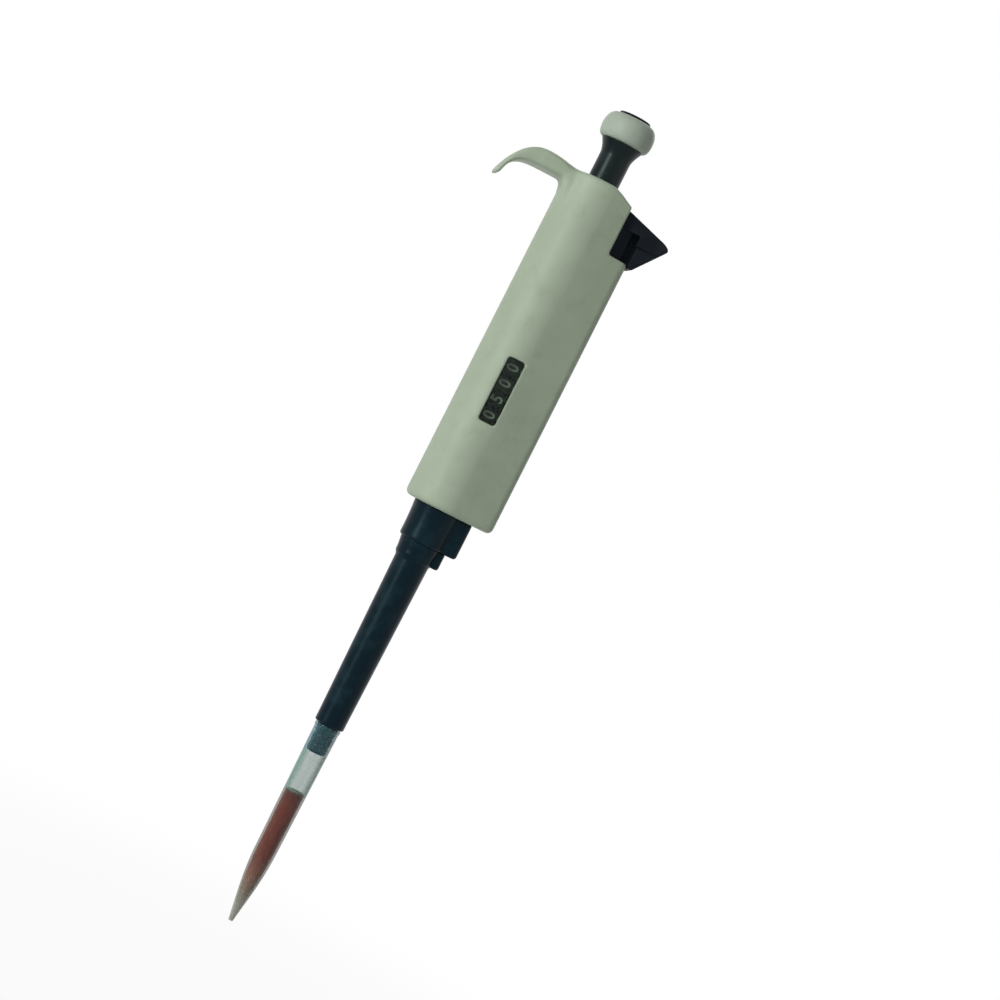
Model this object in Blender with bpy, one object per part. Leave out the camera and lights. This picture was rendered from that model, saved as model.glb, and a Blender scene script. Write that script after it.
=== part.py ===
"""An adjustable hand pipette for 1000 microlitres, upright with its tip down, one object for each real piece.

Heights are measured up the piston's axis from the end of the tip, and x runs from the axis towards the ejector
lever. The empty tip_end carries that frame, and puts the origin of the world at the rest under the finger hook.
"""

import math

import bmesh
import bpy

# Driving dimensions, in metres. Clearances first.
GAP = 0.0003
RUNNING_GAP = 0.0002
OVERLAP = 0.0005
CUT_PAST = 0.002

# The column of outer pieces, from the tip up
TIP_LENGTH = 0.0720
TIP_GRIP = 0.0098
TIP_WALL = 0.0005
TIP_RIM_RADIUS = 0.0046
TIP_TOP_RADIUS = 0.0044
TIP_WAIST_RADIUS = 0.0038
TIP_WAIST_HEIGHT = 0.0270
TIP_END_RADIUS = 0.0008
SAMPLE_HEIGHT = 0.0480
TUBE_LENGTH = 0.0611
TUBE_TOP_RADIUS = 0.0060
TUBE_END_RADIUS = 0.00515
TUBE_WALL = 0.0008
SLEEVE_HEAD_HEIGHT = 0.0065
SLEEVE_HEAD_RADIUS = 0.0067
SLEEVE_LUG_REACH = 0.0089
SLEEVE_LUG_WIDTH = 0.0064
COLLAR_HEIGHT = 0.0124
COLLAR_RADIUS = 0.0080
COLLAR_WALL = 0.0008
COLLAR_FLOOR = 0.0015
COLLAR_LUG_REACH = 0.0125
COLLAR_LUG_WIDTH = 0.0088

# Handle
HANDLE_HEIGHT = 0.1206
HANDLE_RADIUS = 0.0124
HANDLE_REACH = 0.0190
HANDLE_CORNER_RADIUS = 0.0035
HANDLE_CORNER_SPREAD = 0.0040
HANDLE_WALL = 0.0020
HANDLE_END_WALL = 0.0025
HANDLE_BOTTOM_ROUND = 0.0020
HANDLE_TOP_ROUND = 0.0014
SLOPE_START = 0.0035
SLOPE_DROP = 0.0043
PARTING_DEPTH = 0.0055
COVER_LOW = 0.0046
COVER_HIGH = 0.0100
COVER_TAB_HEIGHT = 0.0030
COVER_TAB_WIDTH = 0.0080
COVER_TAB_THICK = 0.0008
RIB_WIDTH = 0.0020
RIB_DEPTH = 0.0030
BORE_RADIUS_IN_ROOF = 0.0072

# Finger hook
HOOK_HALF_WIDTH = 0.0075
HOOK_REST_DROP = 0.0052
HOOK_REST_REACH = 0.0180
HOOK_REST_HALF_LENGTH = 0.0045
HOOK_RISE = 0.0013
HOOK_REACH = 0.0344
HOOK_TIP_DROP = 0.0122
HOOK_TIP_THICK = 0.0019
HOOK_ROUND = 0.0010

# Counter
WINDOW_HEIGHT = 0.0439
WINDOW_WIDTH = 0.0061
WHEEL_PITCH = 0.00575
WHEEL_COUNT = 4
WHEEL_RADIUS = 0.0083
WHEEL_RIM = 0.0040
RING_WIDTH = 0.0013
PINION_WIDTH = 0.0008
GEAR_MODULE = 0.00066
RING_TEETH = 20
PINION_TEETH = 8
MESH_PLAY = 0.0002
TOOTH_RISE = 0.7
TOOTH_FALL = 0.9
DRIVE_SLEEVE_RADIUS = 0.0044
PLATE_THICK = 0.0016
FRAME_RADIUS = 0.0101
FRAME_WALL = 0.0013
AXLE_RADIUS = 0.00075
LENS_FLANGE = 0.0012
LENS_FLANGE_THICK = 0.0008

# Push button, rod and stops
BUTTON_LIFT = 0.0145
BUTTON_HEIGHT = 0.0098
BUTTON_RADIUS = 0.0092
BUTTON_FOOT_RADIUS = 0.0075
BUTTON_TOP_RADIUS = 0.0068
CAP_RADIUS = 0.0056
CAP_THICK = 0.0012
PLUNGER_SLEEVE_RADIUS = 0.0054
PLUNGER_SLEEVE_BORE = 0.0031
PLUNGER_FLARE = 0.0018
FLARE_LENGTH = 0.0050
BUSH_MOUTH_RADIUS = 0.0067
BUSH_MOUTH_DEPTH = 0.0020
ROD_FLATS = 0.0048
SCREW_RADIUS = 0.0020
SCREW_REACH = 0.0197
STROKE = 0.0100
BLOW_OUT = 0.0030
FULL_RISE = 0.0100
BUSH_RADIUS = 0.0090
BUSH_LENGTH = 0.0084
BUSH_FLANGE_THICK = 0.0022
HOUSING_HEIGHT = 0.0213
HOUSING_FLOOR = 0.0033
HOUSING_WALL = 0.0010
HOUSING_CAP_THICK = 0.0020
DISC_THICK = 0.0024
DISC_BORE = 0.0057
NOSE_RADIUS = 0.0065
NOSE_BORE = 0.0055
NOSE_LENGTH = 0.0056
STOP_HEAD_THICK = 0.0028
STOP_HEAD_RADIUS = 0.0085
MAIN_SPRING_RADIUS = 0.0046
MAIN_SPRING_WIRE = 0.0008
MAIN_SPRING_TURNS = 9
BLOW_OUT_SPRING_RADIUS = 0.0076
BLOW_OUT_SPRING_WIRE = 0.0013
BLOW_OUT_SPRING_TURNS = 4

# Piston, cylinder and nozzle
CARRIER_RADIUS = 0.0088
CARRIER_THICK = 0.0037
PISTON_ROD_RADIUS = 0.0035
PISTON_RADIUS = 0.0037
PISTON_LENGTH = 0.0060
PISTON_DEPTH = 0.0052
CYLINDER_RADIUS = 0.0040
CYLINDER_WALL = 0.0009
CYLINDER_DEPTH = 0.0290
CYLINDER_ABOVE = 0.0014
SEAL_THICK = 0.0014
RING_THICK = 0.0012
NOZZLE_END_RADIUS = 0.00345
NOZZLE_ROOT_RADIUS = 0.0037
CHANNEL_RADIUS = 0.0015
SPIGOT_LENGTH = 0.0066
SPIGOT_WALL = 0.0008
FLANGE_THICK = 0.0016
FLANGE_RADIUS = 0.0060
NUT_WALL = 0.0007
NUT_LIP = 0.0008
NUT_ABOVE = 0.0045

# Ejector
NOTCH_REACH = 0.0114
NOTCH_DEPTH = 0.0206
EJECTOR_STROKE = 0.0100
LEVER_HALF_WIDTH = 0.0066
LEVER_BLOCK_REACH = 0.0164
LEVER_BLOCK_LENGTH = 0.0160
LEVER_NECK_HALF_WIDTH = 0.0024
LEVER_TOP_DROP = 0.0044
LEVER_TIP_REACH = 0.0290
LEVER_TIP_DROP = 0.0108
LEVER_PLATE_THICK = 0.0056
LEVER_FOOT_DROP = 0.0216
LEVER_ROUND = 0.0008
LEVER_POCKET_DEPTH = 0.0012
EJECTOR_ROD_RADIUS = 0.0013
EJECTOR_ROD_REACH = 0.0146
ROD_LOW_REACH = 0.0106
ROD_BEND_HIGH = 0.0330
ROD_BEND_LOW = 0.0200
ROD_SOCKET = 0.0066
SHELF_HEIGHT = 0.0714
SHELF_THICK = 0.0020
SHELF_HALF_WIDTH = 0.0046
EJECTOR_SPRING_WIRE = 0.0005
EJECTOR_SPRING_TURNS = 8

# Cover screws
COVER_SCREW_REACH = 0.0145
COVER_SCREW_LOW = 0.0080
COVER_SCREW_BELOW_SHELF = 0.0035
SCREW_HEAD_RADIUS = 0.0018
SCREW_HEAD_THICK = 0.0012
SCREW_SHANK_RADIUS = 0.0010
SCREW_SHANK_LENGTH = 0.0050
POST_RADIUS = 0.0021

# How finely round shapes are cut
STEPS = 32
FINE_STEPS = 48
WIRE_SIDES = 2

# Heights worked out from the driving dimensions
NOZZLE_END = TIP_LENGTH - TIP_GRIP
TUBE_END = TIP_LENGTH + GAP
HEAD_BOTTOM = TUBE_END + TUBE_LENGTH
COLLAR_BOTTOM = HEAD_BOTTOM + SLEEVE_HEAD_HEIGHT
HANDLE_BOTTOM = COLLAR_BOTTOM + COLLAR_HEIGHT + GAP
HANDLE_TOP = HANDLE_BOTTOM + HANDLE_HEIGHT
BUTTON_BOTTOM = HANDLE_TOP + BUTTON_LIFT
FLOOR_TOP = HANDLE_BOTTOM + HANDLE_END_WALL
ROOF_BOTTOM = HANDLE_TOP - HANDLE_END_WALL
HOOK_REST = HANDLE_TOP - HOOK_REST_DROP
NOTCH_BOTTOM = HANDLE_TOP - NOTCH_DEPTH
INNER_RADIUS = HANDLE_RADIUS - HANDLE_WALL
INNER_REACH = HANDLE_REACH - HANDLE_WALL
COVER_BOTTOM = HANDLE_BOTTOM + COVER_LOW
COVER_TOP = HANDLE_TOP - COVER_HIGH
WINDOW_CENTRE = HANDLE_BOTTOM + WINDOW_HEIGHT
WINDOW_LENGTH = WHEEL_COUNT * WHEEL_PITCH
FRAME_BOTTOM = WINDOW_CENTRE - WINDOW_LENGTH / 2 - GAP - PLATE_THICK
FRAME_TOP = WINDOW_CENTRE + WINDOW_LENGTH / 2 + GAP + PLATE_THICK
HOUSING_BOTTOM = FRAME_TOP + GAP
HOUSING_TOP = HOUSING_BOTTOM + HOUSING_HEIGHT
HOUSING_CAP_BOTTOM = HOUSING_TOP + GAP
SPRING_SEAT = HOUSING_BOTTOM + HOUSING_FLOOR
DISC_TOP = HOUSING_TOP - GAP / 2
NOSE_BOTTOM = DISC_TOP + STROKE + GAP
STOP_HEAD_BOTTOM = NOSE_BOTTOM + NOSE_LENGTH
STOP_HEAD_TOP = STOP_HEAD_BOTTOM + STOP_HEAD_THICK
PLUNGER_SLEEVE_BOTTOM = STOP_HEAD_TOP + GAP
BUSH_BOTTOM = ROOF_BOTTOM - GAP - BUSH_LENGTH
CARRIER_TOP = FRAME_BOTTOM - GAP
CARRIER_BOTTOM = CARRIER_TOP - CARRIER_THICK
CYLINDER_TOP = HANDLE_BOTTOM + CYLINDER_ABOVE
CYLINDER_BOTTOM = CYLINDER_TOP - CYLINDER_DEPTH
CYLINDER_OUTER = CYLINDER_RADIUS + CYLINDER_WALL
PISTON_TOP = CYLINDER_TOP + PISTON_LENGTH - PISTON_DEPTH
PISTON_BOTTOM = PISTON_TOP - PISTON_LENGTH
SPIGOT_BORE = CYLINDER_OUTER + GAP
SPIGOT_RADIUS = SPIGOT_BORE + SPIGOT_WALL
SPIGOT_BOTTOM = HANDLE_BOTTOM - SPIGOT_LENGTH
CONE_RING_TOP = SPIGOT_BOTTOM - GAP / 2
FLANGE_TOP = CONE_RING_TOP - RING_THICK - GAP / 2
FLANGE_BOTTOM = FLANGE_TOP - FLANGE_THICK
NUT_BORE = FLANGE_RADIUS + RUNNING_GAP
NUT_RADIUS = NUT_BORE + NUT_WALL
SHELF_TOP = HANDLE_BOTTOM + SHELF_HEIGHT + SHELF_THICK
LEVER_BLOCK_TOP = NOTCH_BOTTOM + LEVER_BLOCK_LENGTH - 0.0046
LEVER_BLOCK_BOTTOM = LEVER_BLOCK_TOP - LEVER_BLOCK_LENGTH
LEVER_INNER_FACE = HANDLE_REACH + 2 * GAP
LEVER_PLATE_BOTTOM = NOTCH_BOTTOM + EJECTOR_STROKE + GAP
RING_PITCH_RADIUS = GEAR_MODULE * RING_TEETH / 2
PINION_PITCH_RADIUS = GEAR_MODULE * PINION_TEETH / 2
AXLE_REACH = RING_PITCH_RADIUS + PINION_PITCH_RADIUS + MESH_PLAY
SCREW_BOTTOM = CARRIER_TOP - SCREW_REACH

for old in list(bpy.data.objects):
    bpy.data.objects.remove(old, do_unlink=True)


def look(name, colour, roughness, metallic=0.0, transmission=0.0):
    """A Principled material for one finish."""
    made = bpy.data.materials.new(name)
    made.use_nodes = True
    shader = made.node_tree.nodes["Principled BSDF"]
    shader.inputs["Base Color"].default_value = (*colour, 1.0)
    shader.inputs["Roughness"].default_value = roughness
    shader.inputs["Metallic"].default_value = metallic
    shader.inputs["Transmission Weight"].default_value = transmission
    made.diffuse_color = (*colour, 1.0)
    return made


CREAM = look("cream_plastic", (0.40, 0.46, 0.37), 0.42)
BUTTON_CREAM = look("button_plastic", (0.52, 0.57, 0.47), 0.40)
BLACK = look("black_plastic", (0.015, 0.024, 0.030), 0.38)
WHEEL_BLACK = look("wheel_plastic", (0.012, 0.014, 0.012), 0.50)
WHITE = look("white_plastic", (0.72, 0.72, 0.68), 0.45)
CLEAR = look("window_plastic", (0.20, 0.22, 0.20), 0.10, 0.0, 0.8)
TIP_CLEAR = look("tip_plastic", (0.80, 0.84, 0.82), 0.25, 0.0, 0.8)
SAMPLE_RED = look("sample", (0.13, 0.03, 0.025), 0.20)
STEEL = look("steel", (0.55, 0.55, 0.56), 0.28, 1.0)
SPRING_STEEL = look("spring_steel", (0.42, 0.42, 0.44), 0.35, 1.0)
BRASS = look("brass", (0.60, 0.45, 0.20), 0.35, 1.0)
RUBBER = look("rubber", (0.02, 0.02, 0.02), 0.75)

tip_end = bpy.data.objects.new("tip_end", None)
tip_end.location = (HOOK_REST_REACH, 0.0, -HOOK_REST)
bpy.context.scene.collection.objects.link(tip_end)


def place(name, bm, finish, at=(0.0, 0.0, 0.0)):
    """Makes the bmesh a shaded object under tip_end, with its origin at the given point."""
    bmesh.ops.recalc_face_normals(bm, faces=bm.faces)
    mesh = bpy.data.meshes.new(name)
    bm.to_mesh(mesh)
    bm.free()
    mesh.materials.append(finish)
    mesh.shade_smooth()
    mesh.set_sharp_from_angle(angle=math.radians(35))
    made = bpy.data.objects.new(name, mesh)
    made.location = at
    made.parent = tip_end
    bpy.context.scene.collection.objects.link(made)
    return made


def turned(name, profile, finish, at=(0.0, 0.0, 0.0), steps=STEPS):
    """Spins a profile of (radius, height) points about the upright axis. One that starts on the axis stays open."""
    bm = bmesh.new()
    points = [bm.verts.new((radius, 0.0, height)) for radius, height in profile]
    pairs = list(zip(points, points[1:]))
    if profile[0][0] > 0:
        pairs.append((points[-1], points[0]))
    edges = [bm.edges.new(pair) for pair in pairs]
    bmesh.ops.spin(
        bm, geom=points + edges, axis=(0, 0, 1), cent=(0, 0, 0), angle=2 * math.pi, steps=steps, use_merge=True
    )
    bmesh.ops.remove_doubles(bm, verts=bm.verts, dist=1e-7)
    return place(name, bm, finish, at)


def tube(name, inner, outer, low, high, finish, at=(0.0, 0.0, 0.0), steps=STEPS):
    profile = [(outer, high), (outer, low), (inner, low), (inner, high)]
    return turned(name, profile, finish, at, steps)


def disc(name, radius, low, high, finish, at=(0.0, 0.0, 0.0), steps=STEPS):
    return turned(name, [(0.0, high), (radius, high), (radius, low), (0.0, low)], finish, at, steps)


def prism(name, outline, low, high, finish, at=(0.0, 0.0, 0.0)):
    """Raises a closed (x, y) outline from one height to another."""
    bm = bmesh.new()
    face = bm.faces.new([bm.verts.new((x, y, low)) for x, y in outline])
    raised = bmesh.ops.extrude_face_region(bm, geom=[face])
    top = [part for part in raised["geom"] if isinstance(part, bmesh.types.BMVert)]
    bmesh.ops.translate(bm, verts=top, vec=(0.0, 0.0, high - low))
    return place(name, bm, finish, at)


def side_prism(name, outline, half_width, finish, centre=0.0):
    """Extrudes a closed (x, height) outline to both sides of the plane of the hook and the lever."""
    bm = bmesh.new()
    face = bm.faces.new([bm.verts.new((x, centre - half_width, height)) for x, height in outline])
    raised = bmesh.ops.extrude_face_region(bm, geom=[face])
    far = [part for part in raised["geom"] if isinstance(part, bmesh.types.BMVert)]
    bmesh.ops.translate(bm, verts=far, vec=(0.0, 2 * half_width, 0.0))
    return place(name, bm, finish)


def block(name, low, high, finish):
    """A box between two corners."""
    outline = [(low[0], low[1]), (high[0], low[1]), (high[0], high[1]), (low[0], high[1])]
    return prism(name, outline, low[2], high[2], finish)


def lofted(name, loops, finish):
    """Joins closed loops with equal counts of points by bands of faces, and closes both ends."""
    bm = bmesh.new()
    rings = [[bm.verts.new(point) for point in loop] for loop in loops]
    for lower, upper in zip(rings, rings[1:]):
        for i in range(len(lower)):
            j = (i + 1) % len(lower)
            bm.faces.new((lower[i], lower[j], upper[j], upper[i]))
    bm.faces.new(rings[0])
    bm.faces.new(rings[-1])
    return place(name, bm, finish)


def coil(name, radius, wire, low, high, turns, finish, at=(0.0, 0.0, 0.0), steps=12):
    """A compression spring between two seats, as a bevelled curve."""
    curve = bpy.data.curves.new(name, "CURVE")
    curve.dimensions = "3D"
    curve.bevel_depth = wire / 2
    curve.bevel_resolution = WIRE_SIDES
    curve.use_fill_caps = True
    count = turns * steps + 1
    spline = curve.splines.new("POLY")
    spline.points.add(count - 1)
    start, end = low + wire / 2 + GAP, high - wire / 2 - GAP
    for k in range(count):
        angle = 2 * math.pi * k / steps
        height = start + (end - start) * k / (count - 1)
        spline.points[k].co = (radius * math.cos(angle), radius * math.sin(angle), height, 1.0)
    curve.materials.append(finish)
    made = bpy.data.objects.new(name, curve)
    made.location = at
    made.parent = tip_end
    bpy.context.scene.collection.objects.link(made)
    return made


def change(target, other, operation):
    """Adds a Boolean with a helper object, which is left out of the model."""
    modifier = target.modifiers.new(other.name, "BOOLEAN")
    modifier.operation = operation
    modifier.object = other
    modifier.solver = "EXACT"
    other.hide_render = True
    other.display_type = "WIRE"


def cut(target, *others):
    for other in others:
        change(target, other, "DIFFERENCE")


def join(target, *others):
    for other in others:
        change(target, other, "UNION")


def soften(target, width, segments=2):
    """Rounds the sharp edges of a piece."""
    modifier = target.modifiers.new("round", "BEVEL")
    modifier.width = width
    modifier.segments = segments
    modifier.limit_method = "ANGLE"
    modifier.angle_limit = math.radians(50)
    modifier.use_clamp_overlap = True


def arc(centre, radius, start, end, steps):
    """Points on an arc from one angle to another, in degrees, both ends included."""
    angles = [math.radians(start + (end - start) * k / steps) for k in range(steps + 1)]
    return [(centre[0] + radius * math.cos(a), centre[1] + radius * math.sin(a)) for a in angles]


def bezier(start, first, second, end, steps):
    """Points on a cubic curve, both ends included."""
    points = []
    for k in range(steps + 1):
        t = k / steps
        weights = ((1 - t) ** 3, 3 * t * (1 - t) ** 2, 3 * t * t * (1 - t), t**3)
        points.append(tuple(sum(w * p[i] for w, p in zip(weights, (start, first, second, end))) for i in (0, 1)))
    return points


def handle_corner():
    """The centre of the handle's rear corner arc, and the angle by which the flat faces close in."""
    corner = (HANDLE_REACH - HANDLE_CORNER_RADIUS, HANDLE_CORNER_SPREAD)
    lean = math.asin((HANDLE_RADIUS - HANDLE_CORNER_RADIUS) / math.hypot(*corner)) - math.atan2(*corner[::-1])
    return corner, math.degrees(lean)


def flat_depth(reach, inset=0.0):
    """How far a flat face of the handle lies from its middle plane, at a reach from the axis."""
    lean = math.radians(handle_corner()[1])
    return (HANDLE_RADIUS - inset - reach * math.sin(lean)) / math.cos(lean)


def handle_outline(inset=0.0):
    """The handle's plan: a round back about the piston's axis, narrowing in flat faces to two small corners."""
    corner, lean = handle_corner()
    small = HANDLE_CORNER_RADIUS - inset
    return (
        arc((0.0, 0.0), HANDLE_RADIUS - inset, 90 - lean, 270 + lean, 28)
        + arc((corner[0], -corner[1]), small, 270 + lean, 360, 5)
        + arc(corner, small, 0, 90 - lean, 5)
    )


def handle_solid(name):
    """The handle's outer form, with both ends rounded."""
    loops = []
    for round_off, foot, turn in (
        (HANDLE_BOTTOM_ROUND, HANDLE_BOTTOM, 1),
        (HANDLE_TOP_ROUND, HANDLE_TOP, -1),
    ):
        ring = []
        for k in range(4):
            angle = math.radians(30 * k)
            height = foot + turn * round_off * (1 - math.cos(angle))
            outline = handle_outline(round_off * (1 - math.sin(angle)))
            ring.append([(x, y, height) for x, y in outline])
        loops += ring[::turn]
    return lofted(name, loops, CREAM)


def handle_room():
    """The hollow inside the handle, in front of and behind the wall that backs the lever's notch, as a helper."""
    made = prism("handle_room", handle_outline(HANDLE_WALL), FLOOR_TOP, ROOF_BOTTOM, CREAM)
    half = HANDLE_RADIUS + CUT_PAST
    notch_wall = block(
        "notch_wall",
        (NOTCH_REACH - HANDLE_WALL, -half, NOTCH_BOTTOM - HANDLE_WALL),
        (NOTCH_REACH, half, HANDLE_TOP + CUT_PAST),
        CREAM,
    )
    cut(made, notch_wall)
    made.hide_render = True
    made.display_type = "WIRE"
    return made


def inside_strip(name, gap, near, far, low, high):
    """The part of the handle's inside between two reaches, clear of the wall by the gap."""
    made = prism(name, handle_outline(HANDLE_WALL + gap), low, high, BLACK)
    half = HANDLE_RADIUS + CUT_PAST
    strip = block(name + "_strip", (near, -half, low - CUT_PAST), (far, half, high + CUT_PAST), BLACK)
    change(made, strip, "INTERSECT")
    made.hide_render = True
    made.display_type = "WIRE"
    return made


def key_rib(name, low, high):
    """A guide rib on the handle's round wall, opposite the lever."""
    return block(
        name,
        (-INNER_RADIUS - OVERLAP, -RIB_WIDTH / 2, low),
        (-INNER_RADIUS + RIB_DEPTH, RIB_WIDTH / 2, high),
        CREAM,
    )


def key_notch(name, low, high):
    """The slot in a keyed piece that a guide rib runs in, as a helper."""
    return block(
        name,
        (-INNER_RADIUS - CUT_PAST, -RIB_WIDTH / 2 - GAP, low - CUT_PAST),
        (-INNER_RADIUS + RIB_DEPTH + GAP, RIB_WIDTH / 2 + GAP, high + CUT_PAST),
        CREAM,
    )


def finger_hook():
    """The hook's side outline: a long curved beak with a flat rest under it."""
    crown = HANDLE_TOP + HOOK_RISE
    tip = HANDLE_TOP - HOOK_TIP_DROP
    beak_start = HOOK_REST_REACH + 0.0030
    rest_out = HOOK_REST_REACH + HOOK_REST_HALF_LENGTH
    rest_in = HOOK_REST_REACH - HOOK_REST_HALF_LENGTH
    root = -HANDLE_RADIUS + HANDLE_WALL / 2
    outline = bezier((-0.0045, HANDLE_TOP - GAP), (-0.012, HANDLE_TOP), (-0.016, crown), (-beak_start, crown), 6)
    outline += bezier(
        (-beak_start, crown),
        (-beak_start - 0.0054, crown),
        (-HOOK_REACH + 0.0030, tip + 0.0076),
        (-HOOK_REACH, tip),
        9,
    )[1:]
    outline += arc((-HOOK_REACH + HOOK_TIP_THICK / 2, tip), HOOK_TIP_THICK / 2, 180, 360, 4)[1:]
    outline += bezier(
        (-HOOK_REACH + HOOK_TIP_THICK, tip),
        (-HOOK_REACH + HOOK_TIP_THICK + 0.0011, tip + 0.0056),
        (-rest_out - 0.0056, HOOK_REST),
        (-rest_out, HOOK_REST),
        6,
    )[1:]
    outline += bezier(
        (-rest_in, HOOK_REST),
        (-rest_in + 0.0012, HOOK_REST),
        (root - 0.0006, HOOK_REST - 0.0012),
        (root - 0.0004, HOOK_REST - 0.0060),
        4,
    )
    outline += [(root + 0.0006, HOOK_REST - 0.0062), (-0.0045, HOOK_REST - 0.0062)]
    made = side_prism("hook_form", outline, HOOK_HALF_WIDTH, CREAM)
    soften(made, HOOK_ROUND)
    return made


def make_handle():
    """The handle body with its hook, and the cover that closes its back."""
    body = handle_solid("handle_body")
    room = handle_room()
    wide = HANDLE_RADIUS + CUT_PAST
    far = LEVER_TIP_REACH
    notch = block("lever_notch", (NOTCH_REACH, -wide, NOTCH_BOTTOM), (far, wide, HANDLE_TOP + CUT_PAST), CREAM)
    join(body, finger_hook())
    cut(body, room)
    cut(
        body,
        block("back_opening", (-wide, PARTING_DEPTH, COVER_BOTTOM), (far, wide, COVER_TOP), CREAM),
        notch,
        side_prism(
            "top_slope",
            [
                (SLOPE_START, HANDLE_TOP + CUT_PAST),
                (SLOPE_START, HANDLE_TOP + GAP),
                (NOTCH_REACH + CUT_PAST, HANDLE_TOP - SLOPE_DROP),
                (NOTCH_REACH + CUT_PAST, HANDLE_TOP + CUT_PAST),
            ],
            wide,
            CREAM,
        ),
        disc("roof_bore", BORE_RADIUS_IN_ROOF, ROOF_BOTTOM - CUT_PAST, HANDLE_TOP + CUT_PAST, CREAM),
        block(
            "window_opening",
            (-WINDOW_WIDTH / 2, -wide, WINDOW_CENTRE - WINDOW_LENGTH / 2),
            (WINDOW_WIDTH / 2, -INNER_RADIUS / 2, WINDOW_CENTRE + WINDOW_LENGTH / 2),
            CREAM,
        ),
        block(
            "neck_slot",
            (LEVER_BLOCK_REACH, -LEVER_NECK_HALF_WIDTH - GAP, LEVER_BLOCK_BOTTOM - EJECTOR_STROKE - GAP),
            (HANDLE_REACH + CUT_PAST, LEVER_NECK_HALF_WIDTH + GAP, NOTCH_BOTTOM + CUT_PAST),
            CREAM,
        ),
        disc("floor_bore", SPIGOT_BORE, HANDLE_BOTTOM - CUT_PAST, FLOOR_TOP + CUT_PAST, CREAM),
        disc(
            "rod_bore",
            EJECTOR_ROD_RADIUS + GAP,
            HANDLE_BOTTOM - CUT_PAST,
            FLOOR_TOP + CUT_PAST,
            CREAM,
            (ROD_LOW_REACH, 0.0, 0.0),
            12,
        ),
    )
    shelf_bottom = SHELF_TOP - SHELF_THICK
    upper_post = shelf_bottom - COVER_SCREW_BELOW_SHELF
    join(
        body,
        tube("spigot", SPIGOT_BORE, SPIGOT_RADIUS, SPIGOT_BOTTOM, HANDLE_BOTTOM + OVERLAP, CREAM),
        key_rib("carrier_rib", FLOOR_TOP - OVERLAP, FRAME_BOTTOM - GAP),
        key_rib("stop_rib", HOUSING_CAP_BOTTOM + HOUSING_CAP_THICK + GAP, BUSH_BOTTOM - GAP),
        block(
            "spring_shelf",
            (EJECTOR_ROD_REACH - 0.0026, -SHELF_HALF_WIDTH, shelf_bottom),
            (INNER_REACH + OVERLAP, SHELF_HALF_WIDTH, SHELF_TOP),
            CREAM,
        ),
        cover_post("lower_post", HANDLE_BOTTOM + COVER_SCREW_LOW, -flat_depth(COVER_SCREW_REACH, HANDLE_WALL / 2)),
        cover_post("upper_post", upper_post, EJECTOR_ROD_RADIUS + 2 * GAP, SHELF_TOP - upper_post - OVERLAP),
    )
    cut(
        body,
        disc(
            "shelf_bore",
            EJECTOR_ROD_RADIUS + GAP,
            shelf_bottom - CUT_PAST,
            SHELF_TOP + CUT_PAST,
            CREAM,
            (EJECTOR_ROD_REACH, 0.0, 0.0),
            12,
        ),
        screw_hole("lower_screw_hole", HANDLE_BOTTOM + COVER_SCREW_LOW, SCREW_SHANK_RADIUS + RUNNING_GAP),
        screw_hole("upper_screw_hole", upper_post, SCREW_SHANK_RADIUS + RUNNING_GAP),
    )

    cover = handle_solid("rear_cover")
    keep = block(
        "cover_zone", (-wide, PARTING_DEPTH + GAP, COVER_BOTTOM + GAP), (far, wide, COVER_TOP - GAP), CREAM
    )
    change(cover, keep, "INTERSECT")
    cut(cover, room, notch)
    tab_out = INNER_RADIUS - GAP
    tab = tube("cover_tab", tab_out - COVER_TAB_THICK, tab_out, COVER_TOP - 0.003, COVER_TOP + COVER_TAB_HEIGHT, CREAM)
    half = COVER_TAB_WIDTH / 2
    sector = block("tab_zone", (-half, 0.0, COVER_TOP - 0.004), (half, wide, COVER_TOP + 2 * COVER_TAB_HEIGHT), CREAM)
    change(tab, sector, "INTERSECT")
    bridge = block(
        "tab_bridge",
        (-half + GAP, tab_out - COVER_TAB_THICK / 2, COVER_TOP - 0.0028),
        (half - GAP, INNER_RADIUS + OVERLAP, COVER_TOP - 0.0010),
        CREAM,
    )
    join(cover, tab, bridge)
    for name, height in (("lower", HANDLE_BOTTOM + COVER_SCREW_LOW), ("upper", upper_post)):
        cut(
            cover,
            screw_hole(name + "_cover_hole", height, SCREW_SHANK_RADIUS + GAP),
            y_disc(
                name + "_head_hole",
                SCREW_HEAD_RADIUS + GAP,
                screw_seat() - GAP,
                HANDLE_RADIUS,
                (COVER_SCREW_REACH, height),
            ),
        )
    for name, height in (("lower", HANDLE_BOTTOM + COVER_SCREW_LOW), ("upper", upper_post)):
        cover_screw("cover_screw_" + name, height)


def y_disc(name, radius, near, far, centre, finish=CREAM, steps=16):
    """A disc whose axis runs front to back, from one depth to another."""
    outline = arc(centre, radius, 0, 360 - 360 / steps, steps - 1)
    return side_prism(name, outline, (far - near) / 2, finish, (far + near) / 2)


def cover_post(name, height, near, reach_up=0.0):
    """A post inside the handle that a cover screw goes into."""
    high = height + max(POST_RADIUS, reach_up)
    return block(
        name,
        (COVER_SCREW_REACH - POST_RADIUS, near, height - POST_RADIUS),
        (INNER_REACH + OVERLAP, PARTING_DEPTH - GAP, high),
        CREAM,
    )


def screw_hole(name, height, radius):
    near = screw_seat() - SCREW_SHANK_LENGTH - GAP
    return y_disc(name, radius, near, HANDLE_RADIUS, (COVER_SCREW_REACH, height))


def screw_seat():
    """The depth at which a screw's head sits in the cover, just over the inner face there."""
    return PARTING_DEPTH + 2 * GAP + 0.0008


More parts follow.
